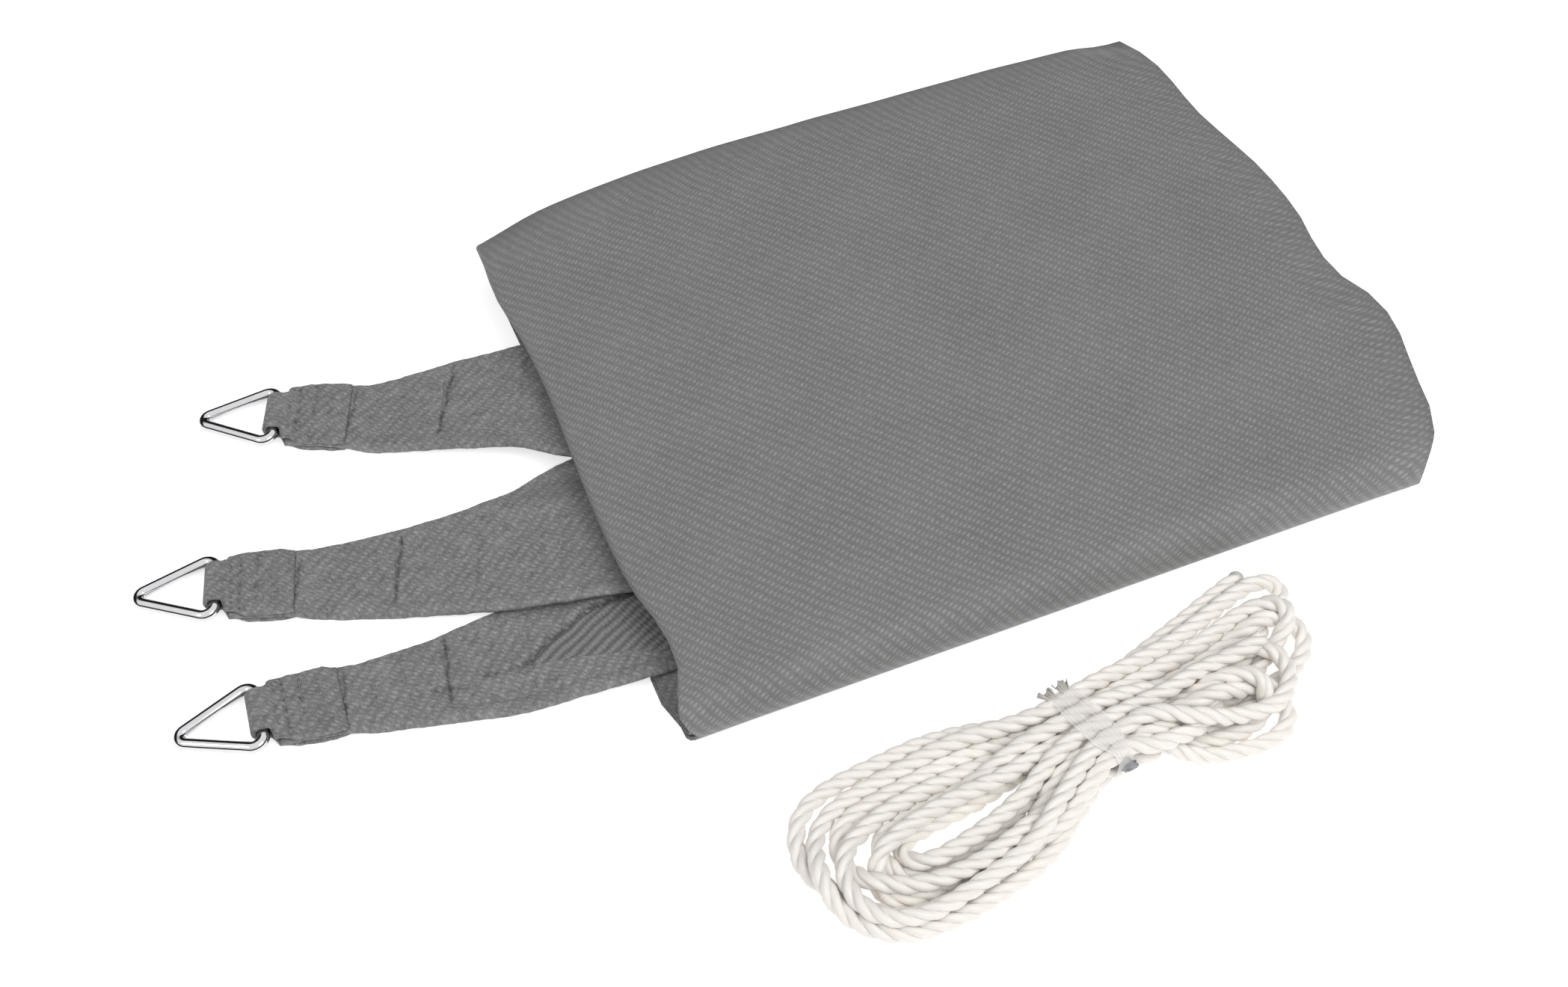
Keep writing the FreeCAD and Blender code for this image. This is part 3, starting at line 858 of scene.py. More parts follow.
def ends_of_layer(layer, height, y):
    """The left and right ends of one layer where it passes y, in millimetres."""
    ragged = RAGGED + LONG_WAVE * np.sin(layer * 2.4 + y / 41.0)
    ragged = ragged + SHORT_WAVE * np.sin(layer * 4.1 + y / 15.0)
    on_top = ease(0.35 * HEIGHT, 0.65 * HEIGHT, height)
    left = through(LEFT_OUTLINE, y) * on_top + through(UNDER_OUTLINE, y) * (1 - on_top)
    right = through(RIGHT_OUTLINE, y)
    if layer > 0:
        left = left + np.where(on_top > 0.5, 6.0 + 0.5 * ragged, 0.35 * ragged)
        right = right - ragged
    if layer >= WRAP_LAYERS:
        inside_mouth = (height > MOUTH_LOW) & (height < MOUTH_HIGH)
        left = np.where(inside_mouth, LEFT_END + MOUTH_DEPTH + 0.4 * ragged, left)
    return left, right


def ribbon(path, columns, curl_steps):
    """The ribbon's grid of points in metres, and its map along and across the yarn."""
    reach, over, height, layer, curl = (np.array(column)[:, None] for column in zip(*path))
    share = np.linspace(0.0, 1.0, columns)[None, :]
    y = fold_middle + reach * (ROUGH_FAR_EDGE - fold_middle) + over
    radius = TIGHT_CURL + (LEFT_CURL - TIGHT_CURL) * ease(NEAR_EDGE + 14, NEAR_EDGE + 40, y)
    left = np.empty_like(y)
    right = np.empty_like(y)
    for row in range(len(y)):
        left[row], right[row] = ends_of_layer(int(layer[row, 0]), height[row, 0], y[row])
    x = left + radius + share * (right - left - radius)
    set_back = (layer > 0) * 0.55 * (4.0 + 2.5 * np.sin(layer * 1.9 + x / 50.0))
    far = through(FAR_OUTLINE, x) - FAR_INSET - set_back
    y = fold_middle + reach * (far - fold_middle) + over
    z = height + 0.0 * x
    if curl_steps:
        angle = math.pi * (1.0 - np.arange(curl_steps) / curl_steps)[None, :]
        bent = curl * (layer == 0)
        curl_x = left + radius - radius * np.sin(angle) * bent
        curl_x = curl_x - radius * angle / math.pi * (1 - bent)
        curl_z = height - radius * (1 - np.cos(angle)) * bent
        x = np.concatenate([curl_x, x], axis=1)
        y = np.concatenate([np.repeat(y[:, :1], curl_steps, axis=1), y], axis=1)
        z = np.concatenate([curl_z, z], axis=1)
    z = CLOTH / 2 / MM + (z - CLOTH / 2 / MM) * swell(x, y)
    grid = np.stack([x, y, z], axis=2)
    step = np.linalg.norm(np.diff(grid[:, columns // 2], axis=0), axis=1)
    along = np.concatenate([[0.0], np.cumsum(step)])[:, None] + 0.0 * x
    return grid * MM, np.stack([x + 3.0 * (z - height), along], axis=2)


def folded_sheet(name, path, columns, curl_steps, node):
    """One panel of the sail, as thick as its cloth, and its area."""
    grid, place = ribbon(path, columns, curl_steps)
    mesh = mesh_from_grids(name, [grid], [place], "knit", wrap=False, caps=False)
    sheet = piece_from_mesh(name, mesh, sail_finish, "sail", turn_out=False)
    apply_modifier(sheet, "SOLIDIFY", thickness=CLOTH, offset=0.0)
    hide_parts(node)
    area = sum(face.area for face in sheet.data.polygons) / 2
    print(name, len(sheet.data.polygons), "faces,", round(area, 2), "square metres of cloth")
    return sheet, area


outer_sheet, outer_area = folded_sheet(
    "sail_outer_panel", wrap_path(), WRAP_COLUMNS, CURL_STEPS, "sail_panel_outer")
inner_sheet, inner_area = folded_sheet(
    "sail_inner_panel", stack_path(), STACK_COLUMNS, 0, "sail_panel_inner")


# %% [markdown]
# ## The three sewn corners
#
# Each corner of the sail tapers towards its ring. It is several layers of cloth thick,
# so it is a closed body with soft edges, not a single sheet. A corner has its own
# directions: back from the ring's bar, across towards the far side, and up. Its edges
# are the widths at a few places behind the bar, its underside starts on the loop's
# lower tail, lies on the floor and rises into the packet's open end. Everything sewn
# to a corner is then drawn in those directions too.

# %% Corner frames
LOOP_END = 38.0              # where the loop's tails end, behind the bar
CLOTH_START = 7.0
CLOTH_UP = 3.0               # thickness of a corner's own layers
PATCH_RUNS_TO = 88.0
PATCH_UP = 0.9
HEM_ACROSS = 8.0
INTO_MOUTH = 32.0            # how far a corner's root reaches into the packet
TAIL_TOP = 2.3               # the top of the loop's lower tail, where a corner starts
EDGE_ROUND = 2.0


def softened(points, places, reach):
    """A line of straight stretches with its bends rounded off."""
    at, value = np.array(points, float).T
    shifts = np.linspace(-reach, reach, 9)
    return sum(np.interp(places + shift, at, value) for shift in shifts) / len(shifts)


class Corner:
    """One corner's own directions, edges and underside, in millimetres."""

    def __init__(self, number, far, near, touch, mouth, far_sag=0.0, ease_up=0.0):
        self.far_sag, self.ease_up = far_sag, ease_up
        joint = joints[f"ring_{number}_swing"]
        self.number = number
        self.bar = np.array(joint["pos_m"]) / MM
        self.across = np.array(joint["axis"])
        self.back = np.array((self.across[1], -self.across[0], 0.0))
        self.far, self.near = far, near
        mouth_at = (LEFT_END - self.bar[0]) / self.back[0]
        self.end = (LEFT_END + INTO_MOUTH - self.bar[0]) / self.back[0]
        self.under = ((CLOTH_START, TAIL_TOP), (38.1, TAIL_TOP), (47.0, 0.0), (touch, 0.0),
                      (mouth_at, mouth), (self.end, mouth))

    def edge(self, u, side):
        """The far (+1) or near (-1) edge, with the small scallops of its knit."""
        points = self.far if side > 0 else self.near
        seed = self.number * 5.3 + side
        scallop = 0.55 * soft_noise(u, u * 0 + seed, 9.0, seed)
        scallop = scallop + 0.35 * soft_noise(u, u * 0 - seed, 3.2, seed)
        return softened(points, u, 6.0) + scallop

    def base(self, u):
        return np.maximum(softened(self.under, u, 4.0), 0.05)

    def sag(self, u, v):
        """How far the root gives where one corner's edge lies under the next one's."""
        rise = self.ease_up * ease(100.0, 135.0, u) * ease(-10.0, -30.0, v)
        return rise - self.far_sag * ease(26.0, 44.0, v) * ease(120.0, 158.0, u)

    def place(self, u, v, z):
        flat = self.bar[:2] + u[..., None] * self.back[:2] + v[..., None] * self.across[:2]
        return np.concatenate([flat, z[..., None] + 0.0 * flat[..., :1]], axis=-1) * MM


CORNERS = {
    1: Corner(1, ((0, 19), (38, 21), (88, 33), (180, 49)),
              ((0, -18), (38, -21), (92, -26), (126, -30), (152, -40), (180, -42)), 56, 13.0,
              ease_up=1.0),
    2: Corner(2, ((0, 18), (38, 18), (118, 29), (142, 37), (163, 50), (195, 62), (230, 62)),
              ((0, -18), (38, -21), (88, -28), (143, -35), (230, -36)), 76, 12.0,
              far_sag=4.6),
    3: Corner(3, ((0, 18), (40, 16), (80, 19), (120, 27), (225, 42)),
              ((0, -18), (40, -21), (76, -27), (114, -33), (225, -36)), 118, 5.5),
}
print("corners reach", [round(corner.end) for corner in CORNERS.values()], "mm back")


# %% [markdown]
# A corner's upper surface is not flat. Cross seams pinch it into short dark creases
# where the reinforcing patch starts and ends, and between them the cloth stands up a
# little. The third corner is sewn from two halves, so a long seam runs down it, and a
# fold crosses it where its root is turned over. Each of these is a groove: a small bell
# curve that is subtracted from the surface's height. The shade in these grooves is also
# painted into the yarn's colour, darker the deeper the groove.

# %% Relief of a corner
CREASES = (39.5, 88.0, 128.0)
CREASE_DEPTHS = (1.1, 1.35, 0.35)
LONG_SEAM = ((25, -2), (43, -9), (77, -11), (115, -8), (126, -9))
TURNED_FOLD = ((112, -12), (126, -8), (131, -3), (155, 9), (166, 12), (200, 14))
TURNED_LOW = ((112, -12), (126, -9), (171, -18), (190, -25), (214, -28))


def groove(distance, width):
    """A bell curve: 1 at no distance, and near 0 at two widths."""
    return np.exp(-(distance / width) ** 2)


def crease_places(corner, u, v):
    """For each cross crease: its depth, how far away it is, and its strength across."""
    seed = corner.number * 11.0
    share = v / np.where(v > 0, corner.edge(u[:, :1], 1), -corner.edge(u[:, :1], -1))
    wander = 1.3 * soft_noise(v, u * 0, 9.0, seed + 2.0) + 0.10 * v
    patchy = 0.75 + 0.5 * soft_noise(v, u * 0, 4.0, seed + 5.0)
    for at, depth in zip(CREASES, CREASE_DEPTHS):
        middle = ease(0.95, 0.55, np.abs(share - 0.08)) * patchy
        yield depth, u - at - wander, middle


def crease_painted_shade(corner, u, v):
    """0 to 1: how deep in a crease or a seam a place is, and so how much painted shade darkens the
    yarn there.
    """
    dark = 0.0 * u
    for depth, away, middle in crease_places(corner, u, v):
        dark = dark + 0.8 * depth * middle * groove(away, 0.85)
    if corner.number == 3:
        dark = dark + 0.45 * groove(v - softened(LONG_SEAM, u, 3.0), 0.7) * ease(126.0, 120.0, u)
        fold = v - softened(TURNED_FOLD, u, 2.0)
        dark = dark + 0.9 * groove(fold, 1.6) * ease(116.0, 128.0, u)
    return np.clip(dark, 0.0, 1.0)


def relief(corner, u, v):
    """How far a corner's upper surface stands above its plain thickness."""
    seed = corner.number * 11.0
    height = 0.6 * soft_noise(u, v, 17.0, seed) + 0.3 * soft_noise(u, v, 6.5, seed)
    for depth, away, middle in crease_places(corner, u, v):
        height = height - depth * middle * (groove(away, 1.1) + 0.4 * groove(away, 7.0))
    if corner.number == 3:
        seam = softened(LONG_SEAM, u, 3.0)
        height = height - 0.9 * groove(v - seam, 1.1) * ease(126.0, 120.0, u)
        height = height + 0.5 * groove(v - seam - 2.4, 1.6) * ease(126.0, 120.0, u)
        fold = softened(TURNED_FOLD, u, 2.0)
        height = height - 1.6 * groove(v - fold, 1.8) * ease(116.0, 128.0, u)
        height = height + 1.1 * groove(v - fold - 4.5, 3.6) * ease(116.0, 132.0, u)
    return height


def edge_profile(v, low, high, rounding):
    """0 at both edges and 1 inside, round like the edge of folded cloth."""
    inside = np.minimum(v - low, high - v) / rounding
    return np.sqrt(np.clip(1.0 - (1.0 - np.clip(inside, 0.0, 1.0)) ** 2, 0.0, 1.0))


def cloth_top(corner, u, v):
    """The height of a corner's upper surface."""
    low, high = corner.edge(u[:, :1], -1), corner.edge(u[:, :1], 1)
    profile = edge_profile(v, low, high, EDGE_ROUND)
    inner = ease(LOOP_END, LOOP_END + 3.0, u) * profile
    return corner.base(u) + CLOTH_UP / 2 * (1 + profile) + relief(corner, u, v) * inner


print("creases at", CREASES, "mm behind the bar, up to", max(CREASE_DEPTHS), "mm deep")


# %% [markdown]
# The corner itself, its patch and its hems are all slabs: closed soft bodies between an
# upper and a lower surface and between two edges. So one function lofts them all, and
# each kind of piece only has to say what its surfaces and its edges are. The patch lies
# on the corner from its loop to the second crease, and a hem is a bead along each edge.

# %% Slabs of cloth on a corner
BODY_STEP, PATCH_STEP, HEM_STEP = 0.9, 0.8, 0.75        # between rows of points
BODY_COLUMNS, PATCH_COLUMNS, HEM_COLUMNS = 46, 28, 11
CORNER_SHIFT = 37.0          # so that no two corners have the same place in the knit
UNDER_SHIFT = 90.0           # so that the underside doesn't repeat the top
HEM_RIPPLE_PITCH = 2.9


def slab(corner, name, rows, low, high, bottom, top, count, material, node):
    """A closed soft body between two surfaces and two edges, lofted along a corner."""
    share = np.sin(np.linspace(-1, 1, count) * math.pi / 2)[None, :]
    u = rows[:, None] + 0.0 * share
    v = (low + high)[:, None] / 2 + share * (high - low)[:, None] / 2
    above = top(u, v)
    below = np.minimum(bottom(u, v), above - 0.02)
    # painted shade: the yarn on the corner's top is darkened in its creases and seams, for the shade
    # in them
    painted_shade = crease_painted_shade(corner, u, v) * ease(LOOP_END - 2.0, LOOP_END, u)
    give = corner.sag(u, v)
    above, below = above + give, below + give
    around = (slice(None), slice(count - 2, 0, -1))
    grid = np.concatenate([corner.place(u, v, above),
                           corner.place(u[around], v[around], np.maximum(below, 0.03)[around])],
                          axis=1)
    knit = np.stack([u, v], axis=2) + CORNER_SHIFT * corner.number
    knit = np.concatenate([knit, knit[around] + UNDER_SHIFT], axis=1)
    painted_shade = np.concatenate([painted_shade, painted_shade[around] * 0.0], axis=1)
    mesh = mesh_from_grids(name, [grid], [knit], "knit", painted_shades=painted_shade)
    piece = piece_from_mesh(name, mesh, material, "sail")
    if node:
        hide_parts(node)
    return piece


def corner_body(corner):
    """The corner's own layers, from the loop into the packet's open end."""
    rows = np.arange(CLOTH_START, corner.end, BODY_STEP)

    def bottom(u, v):
        profile = edge_profile(v, corner.edge(u[:, :1], -1), corner.edge(u[:, :1], 1), EDGE_ROUND)
        return corner.base(u) + CLOTH_UP / 2 * (1 - profile)

    def top(u, v):
        return cloth_top(corner, u, v)

    return slab(corner, f"corner_{corner.number}", rows, corner.edge(rows, -1),
                corner.edge(rows, 1), bottom, top, BODY_COLUMNS, corner_finish,
                f"corner_cloth_{corner.number}")


def corner_patch(corner):
    """A second cloth on top of the corner, sewn down at its ends and edges."""
    rows = np.arange(CLOTH_START + 0.3, PATCH_RUNS_TO, PATCH_STEP)
    low, high = corner.edge(rows, -1) + 1.2, corner.edge(rows, 1) - 1.2

    def bottom(u, v):
        return cloth_top(corner, u, v) - 0.5

    def top(u, v):
        rise = edge_profile(v, low[:, None], high[:, None], 4.0)
        rise = rise * ease(LOOP_END - 1.0, LOOP_END + 1.5, u)
        rise = rise * ease(PATCH_RUNS_TO, PATCH_RUNS_TO - 2.5, u)
        return cloth_top(corner, u, v) - 0.3 + (PATCH_UP + 0.3) * rise

    return slab(corner, f"patch_{corner.number}", rows, low, high, bottom, top, PATCH_COLUMNS,
                corner_finish, f"corner_patch_{corner.number}")


def corner_hem(corner, side, name):
    """A doubled edge: it wraps the cloth's edge and sinks into it further in."""
    rows = np.arange(LOOP_END - 5.0, corner.end - 0.5, HEM_STEP)
    edge = corner.edge(rows, side)
    width = HEM_ACROSS + 0.5 * soft_noise(rows, rows * 0, 12.0, corner.number)
    low = np.where(side > 0, edge - width, edge - 0.6)
    high = np.where(side > 0, edge + 0.6, edge + width)
    ripple = 1.0 + 0.045 * np.sin(rows * 2 * math.pi / HEM_RIPPLE_PITCH)[:, None]
    ripple = ripple + 0.09 * soft_noise(rows, rows * 0, 4.5, 3.0 + side)[:, None]
    raised = 0.95 if (corner.number == 3 and side < 0) else 0.62

    def half(u, v):
        middle, reach = (low + high)[:, None] / 2, (high - low)[:, None] / 2
        inside = np.clip(1 - np.abs((v - middle) / reach) ** 2.4, 0, 1) ** (1 / 2.2)
        return inside * ripple * (CLOTH_UP / 2 + raised * ease(LOOP_END - 1.0, LOOP_END + 4.0, u))

    def top(u, v):
        return corner.base(u) + CLOTH_UP / 2 + half(u, v)

    def bottom(u, v):
        return corner.base(u) + CLOTH_UP / 2 - half(u, v)

    return slab(corner, f"hem_{name}_{corner.number}", rows, low, high, bottom, top, HEM_COLUMNS,
                hem_finish, f"corner_hem_{name}_{corner.number}")


corner_pieces = []
for corner in CORNERS.values():
    corner_pieces += [corner_body(corner), corner_patch(corner),
                      corner_hem(corner, 1, "far"), corner_hem(corner, -1, "near")]
print(len(corner_pieces), "pieces of corner cloth")


# %% [markdown]
# At the root of the third corner the cloth is turned over, so its ribbed reverse shows
# in a triangle below the fold. It is a thin piece laid on the corner, because the
# reverse is a different surface with its own finish.

# %% Turned root of the third corner
TURNED_START = 118.0
TURNED_STEP = 1.1
TURNED_COLUMNS = 20


def turned_root(corner):
    """The triangle of ribbed cloth below the third corner's fold."""
    rows = np.arange(TURNED_START, corner.end - 4.0, TURNED_STEP)
    low = softened(TURNED_LOW, rows, 3.0)
    high = softened(TURNED_FOLD, rows, 3.0) - 0.4

    def top(u, v):
        return cloth_top(corner, u, v) + 0.55 * edge_profile(v, low[:, None], high[:, None], 1.5)

    def bottom(u, v):
        return cloth_top(corner, u, v) - 0.5

    return slab(corner, "turned_root", rows, low, np.maximum(high, low + 0.3), bottom, top,
                TURNED_COLUMNS, ribbed, None)


corner_pieces.append(turned_root(CORNERS[3]))
print("turned root,", len(corner_pieces[-1].data.polygons), "faces")


# %% [markdown]
# ## The loops round the rings' bars
#
# A loop is one doubled strip. It runs from its lower tail forward under the bar, round
# the bar and back over the corner as its upper tail, so its path is a U on its side and
# its body is that path given a width and a thickness. Round the bar it has to be
# narrower than the ring's straight, or the ring couldn't swing; behind the bar its wings
# spread to the corner's width and droop. Rows of stitches pull the upper tail down into
# puckers.

# %% Loops
BAR_UP = 5.6
LOOP_UP = 2.2                # the doubled strip's thickness
LOOP_TURN = 4.5              # from the bar's middle to the middle of the strip
BAR_NEAR, BAR_FAR = -10.8, 12.7      # the strip's edges where it goes round the bar
STITCH_ROWS = (12.0, 20.0, 28.0, 35.0)
STITCH_PITCH_ACROSS = 3.2
LOOP_COLUMNS = 27
LOOP_SHIFT = 61.0            # each loop's own place in the knit
THREAD_RADIUS, THREAD_SIDES, THREAD_STEPS = 0.32, 6, 5
THREAD_ARCH = (-0.75, -0.1, 0.1, -0.1, -0.75)
PUCKERS = ((8.0, 1.0), (12.0, 1.35), (20.0, 0.9), (28.0, 0.45), (35.0, 0.4))
UPPER_TAIL = ((-1, 10.1), (0, 10.1), (4, 9.4), (9, 7.7), (14, 6.7), (32, 6.55), (38, 5.9), (40, 5.8))
WING_LIMIT = ((2.6, 4.3), (3.4, 5.2), (5.0, 7.6), (6.6, 8.6), (60.0, 8.6))


def loop_path():
    """Places along the strip: back from the bar, up, and which way its outside faces."""
    path = [(u, 1.25, 0.0, -1.0) for u in np.arange(LOOP_END, 0.5, -1.6)]
    for angle in np.radians(np.arange(270, 89, -12)):
        path.append((LOOP_TURN * math.cos(angle), BAR_UP + LOOP_TURN * math.sin(angle),
                     math.cos(angle), math.sin(angle)))
    behind = np.arange(0.8, LOOP_END + 0.1, 0.62)
    heights = through(UPPER_TAIL, behind)
    slope = np.gradient(heights, behind)
    long = np.sqrt(1 + slope ** 2)
    path += list(zip(behind, heights, -slope / long, 1 / long))
    return np.array(path)


def loop_edges(corner, u):
    """The strip's near and far edges: narrow round the bar, then the corner's width."""
    spread = ease(3.6, 5.4, u)
    pinch = ease(16.0, 8.0, u)
    over = 0.5 - 1.0 * ease(LOOP_END - 7.0, LOOP_END, u)
    low = BAR_NEAR + (corner.edge(u, -1) + 2.4 * pinch - over - BAR_NEAR) * spread
    high = BAR_FAR + (corner.edge(u, 1) - 1.5 * pinch + over - BAR_FAR) * spread
    return low, high


def pucker(u, v, seed):
    """The upper tail's height: pulled down at each stitch, standing up between rows."""
    height = 0.45 * soft_noise(u, v, 7.0, seed) + 0.3 * soft_noise(u, v, 3.0, seed)
    for row, depth in PUCKERS:
        away = u - row - 1.0 * soft_noise(v, u * 0, 9.0, seed + row)
        pull = 0.6 + 0.4 * np.cos(v * 2 * math.pi / STITCH_PITCH_ACROSS)
        height = height - depth * groove(away, 1.2) * pull + 0.2 * groove(np.abs(away) - 3.4, 1.6)
    return height


def ring_loop(corner):
    """The doubled strip round one ring's bar."""
    path = loop_path()
    low, high = loop_edges(corner, path[:, 0])
    share = np.sin(np.linspace(-1, 1, LOOP_COLUMNS) * math.pi / 2)[None, :]
    v = (low + high)[:, None] / 2 + share * (high - low)[:, None] / 2
    u, z, out_u, out_z = (path[:, column][:, None] + 0.0 * v for column in range(4))
    upper = (out_z > 0) & (u > 0)
    wing = np.maximum(ease(-10.6, -12.6, v), ease(12.8, 14.8, v))
    limit = np.interp(u, *np.array(WING_LIMIT).T) - LOOP_UP / 2
    z = np.where(upper, z + wing * (np.minimum(z, limit) - z), z)
    half = LOOP_UP / 2 * edge_profile(v, low[:, None], high[:, None], 1.3)
    puckers = np.where(upper & (half > 0.6), pucker(u, v, corner.number) * ease(4.5, 8.0, u), 0.0)
    raised = half + puckers
    # painted shade: the yarn is darkened where the stitches pull the upper tail down into puckers
    painted_shade = np.clip(-puckers - 0.4, 0.0, 0.8)
    rounding = ease(LOOP_END + 0.3, LOOP_END - 1.5, u) * 0.85 + 0.15
    outside = corner.place(u + out_u * raised, v, np.maximum(z + out_z * raised * rounding, 0.05))
    inside = corner.place(u - out_u * half, v, np.maximum(z - out_z * half, 0.05))
    around = (slice(None), slice(LOOP_COLUMNS - 2, 0, -1))
    grid = np.concatenate([outside, inside[around]], axis=1)
    step = np.hypot(np.diff(path[:, 0]), np.diff(path[:, 1]))
    along = np.concatenate([[0.0], np.cumsum(step)])[:, None] + 0.0 * v
    knit = np.stack([along, v], axis=2) + LOOP_SHIFT * corner.number
    knit = np.concatenate([knit, knit[around]], axis=1)
    painted_shade = np.concatenate([painted_shade, painted_shade[around] * 0.0], axis=1)
    mesh = mesh_from_grids(f"loop_{corner.number}", [grid], [knit], "knit", painted_shades=painted_shade)
    piece = piece_from_mesh(f"loop_{corner.number}", mesh, corner_finish, "sail")
    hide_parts(f"ring_loop_{corner.number}")
    return piece


def stitches(corner):
    """Short threads across the upper tail, each bowed up between its two holes."""
    grids, maps = [], []
    heights = through(UPPER_TAIL, np.array(STITCH_ROWS))
    for row, height in zip(STITCH_ROWS, heights):
        low, high = (float(edge[0]) for edge in loop_edges(corner, np.array([row])))
        middles = np.arange(low + 3.6, high - 2.6, STITCH_PITCH_ACROSS)
        for count, middle in enumerate(middles):
            v = middle + np.linspace(-1.2, 1.2, THREAD_STEPS)
            u = row + 0.5 * math.sin(3.0 * count + row) + 0.0 * v
            up = height + LOOP_UP / 2 - 0.42 + np.array(THREAD_ARCH)
            radii = np.full(THREAD_STEPS, THREAD_RADIUS * MM)
            grid, place = tube_rings(corner.place(u, v, up), radii, THREAD_SIDES)
            grids.append(grid)
            maps.append(place)
    mesh = mesh_from_grids(f"stitches_{corner.number}", grids, maps, "lay")
    piece = piece_from_mesh(f"stitches_{corner.number}", mesh, thread, "sail")
    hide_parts(f"loop_stitching_{corner.number}")
    return piece


for corner in CORNERS.values():
    corner_pieces += [ring_loop(corner), stitches(corner)]
print("loops and stitches,", len(corner_pieces), "pieces on the corners")


# %% [markdown]
# ## The tie
#
# The hank is bound with a narrow wrap of stretch film. Pulled tight, film takes the
# shortest way round the legs: it touches the outer ones and spans straight between
# them. So at each of many directions round the waist the film is at the leg that
# reaches furthest that way. Where its end is pulled through it gathers into a ruffle on
# the far side, and into a dark knot on the near side.

# %% Film round the waist
TIE_HALF_LENGTH = 8.2
FILM_GAP = 0.35
FILM_SIDES, FILM_RINGS = 72, 15
FILM_LOWEST = 0.2            # the film's least height above the floor
WRINKLE = 0.42
NEAR_PINCH, FAR_PINCH = 0.42, 0.22   # share of its width lost at the knot and the ruffles
waist_axis = np.array((math.cos(WAIST_ANGLE), math.sin(WAIST_ANGLE), 0.0))
waist_side = np.array((-waist_axis[1], waist_axis[0], 0.0))
waist_up = np.array((0.0, 0.0, 1.0))


def waist_section():
    """The film's outline round the legs: (across, up) in millimetres."""
    offset = (np.array(rope_line) - np.array(WAIST_MIDDLE)) / MM
    near = np.abs(offset @ waist_axis) < TIE_HALF_LENGTH + 2.0
    legs = np.stack([offset @ waist_side, offset @ waist_up], axis=1)[near]
    turn = np.linspace(0.0, 2 * math.pi, FILM_SIDES, endpoint=False)
    ways = np.stack([np.cos(turn), np.sin(turn)], axis=1)
    furthest = legs[np.argmax(ways @ legs.T, axis=1)]
    return furthest + ways * (ROPE_RADIUS / MM + FILM_GAP)


def waist_point(along, across, up):
    """A place at the waist, in metres, from millimetres along, across and up."""
    offset = waist_axis * along + waist_side * across + waist_up * up
    return np.array(WAIST_MIDDLE) + offset * MM


section = waist_section()
centre = section.mean(axis=0)
out = (section - centre) / np.linalg.norm(section - centre, axis=1)[:, None]
round_waist = np.arange(FILM_SIDES) * 0.5
rings, places = [], []
for along in np.linspace(-TIE_HALF_LENGTH, TIE_HALF_LENGTH, FILM_RINGS):
    wrinkle = WRINKLE * soft_noise(round_waist, 0.0 * round_waist + along * 2.2, 3.0, 4.0)
    outline = section + out * wrinkle[:, None]
    outline[:, 1] = np.maximum(outline[:, 1], FILM_LOWEST)
    narrow = 1.0 - NEAR_PINCH * ease(-8.0, -19.0, outline[:, 0])
    narrow = narrow - FAR_PINCH * ease(10.0, 20.0, outline[:, 0])
    rings.append([waist_point(along * part + 1.6 * (1 - part), across, up)
                  for (across, up), part in zip(outline, narrow)])
    places.append([(along + 20, abs(side - FILM_SIDES / 2) * 1.6) for side in range(FILM_SIDES)])
film_mesh = mesh_from_grids("waist_film", [np.array(rings)], [np.array(places)], "wrap", caps=False)
film = piece_from_mesh("waist_film", film_mesh, tie_film, "rope")
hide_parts("rope_tie")
print("film round the waist,", round(float(np.ptp(section[:, 0])), 1), "mm wide")


# %% [markdown]
# The knot is a small solid thing, so it comes from a primitive: a ball that is scaled in
# edit mode, so that its object stays at the origin as every piece here does, and dented
# by noise. A ruffle is a sheet, so it is a grid again: a fan whose pleats grow from the
# film's edge outwards, with a modifier for its thickness.

# %% Ruffle and knot
BALL_LOWEST = 0.1 * MM
RUFFLE_ROWS, RUFFLE_COLUMNS = 9, 44
FILM_FOLDS = 0.25 * MM       # thickness of the gathered film
KNOT_SIZE, KNOT_DENTS, KNOT_GRAIN = (0.0042, 0.0033, 0.0032), 1.5, 2.4
KNOT_TAIL_SIZE, KNOT_TAIL_DENTS, KNOT_TAIL_GRAIN = (0.0030, 0.0019, 0.0018), 1.0, 1.8


def shaped_ball(name, middle, size, turn, dents, material, grain):
    """A ball scaled to a size, turned, dented by noise and given its finish."""
    bpy.ops.object.select_all(action="DESELECT")
    bpy.ops.mesh.primitive_ico_sphere_add(subdivisions=4, radius=1.0)
    ball = bpy.context.object
    ball.name = name
    bpy.ops.object.mode_set(mode="EDIT")
    bpy.ops.mesh.select_all(action="SELECT")
    bpy.ops.transform.resize(value=size)
    bpy.ops.transform.rotate(value=turn, orient_axis="Z", center_override=(0, 0, 0))
    bpy.ops.transform.translate(value=tuple(middle))
    bpy.ops.object.mode_set(mode="OBJECT")
    for vertex in ball.data.vertices:
        where = Vector(vertex.co) / MM
        push = noise.noise(where / grain) + noise.noise(where / (grain / 2.7)) * 0.5
        vertex.co += vertex.normal * push * dents * MM
        vertex.co.z = max(vertex.co.z, BALL_LOWEST)
    bpy.ops.object.shade_smooth()
    ball.data.materials.append(material)
    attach(ball, "rope")
    return ball


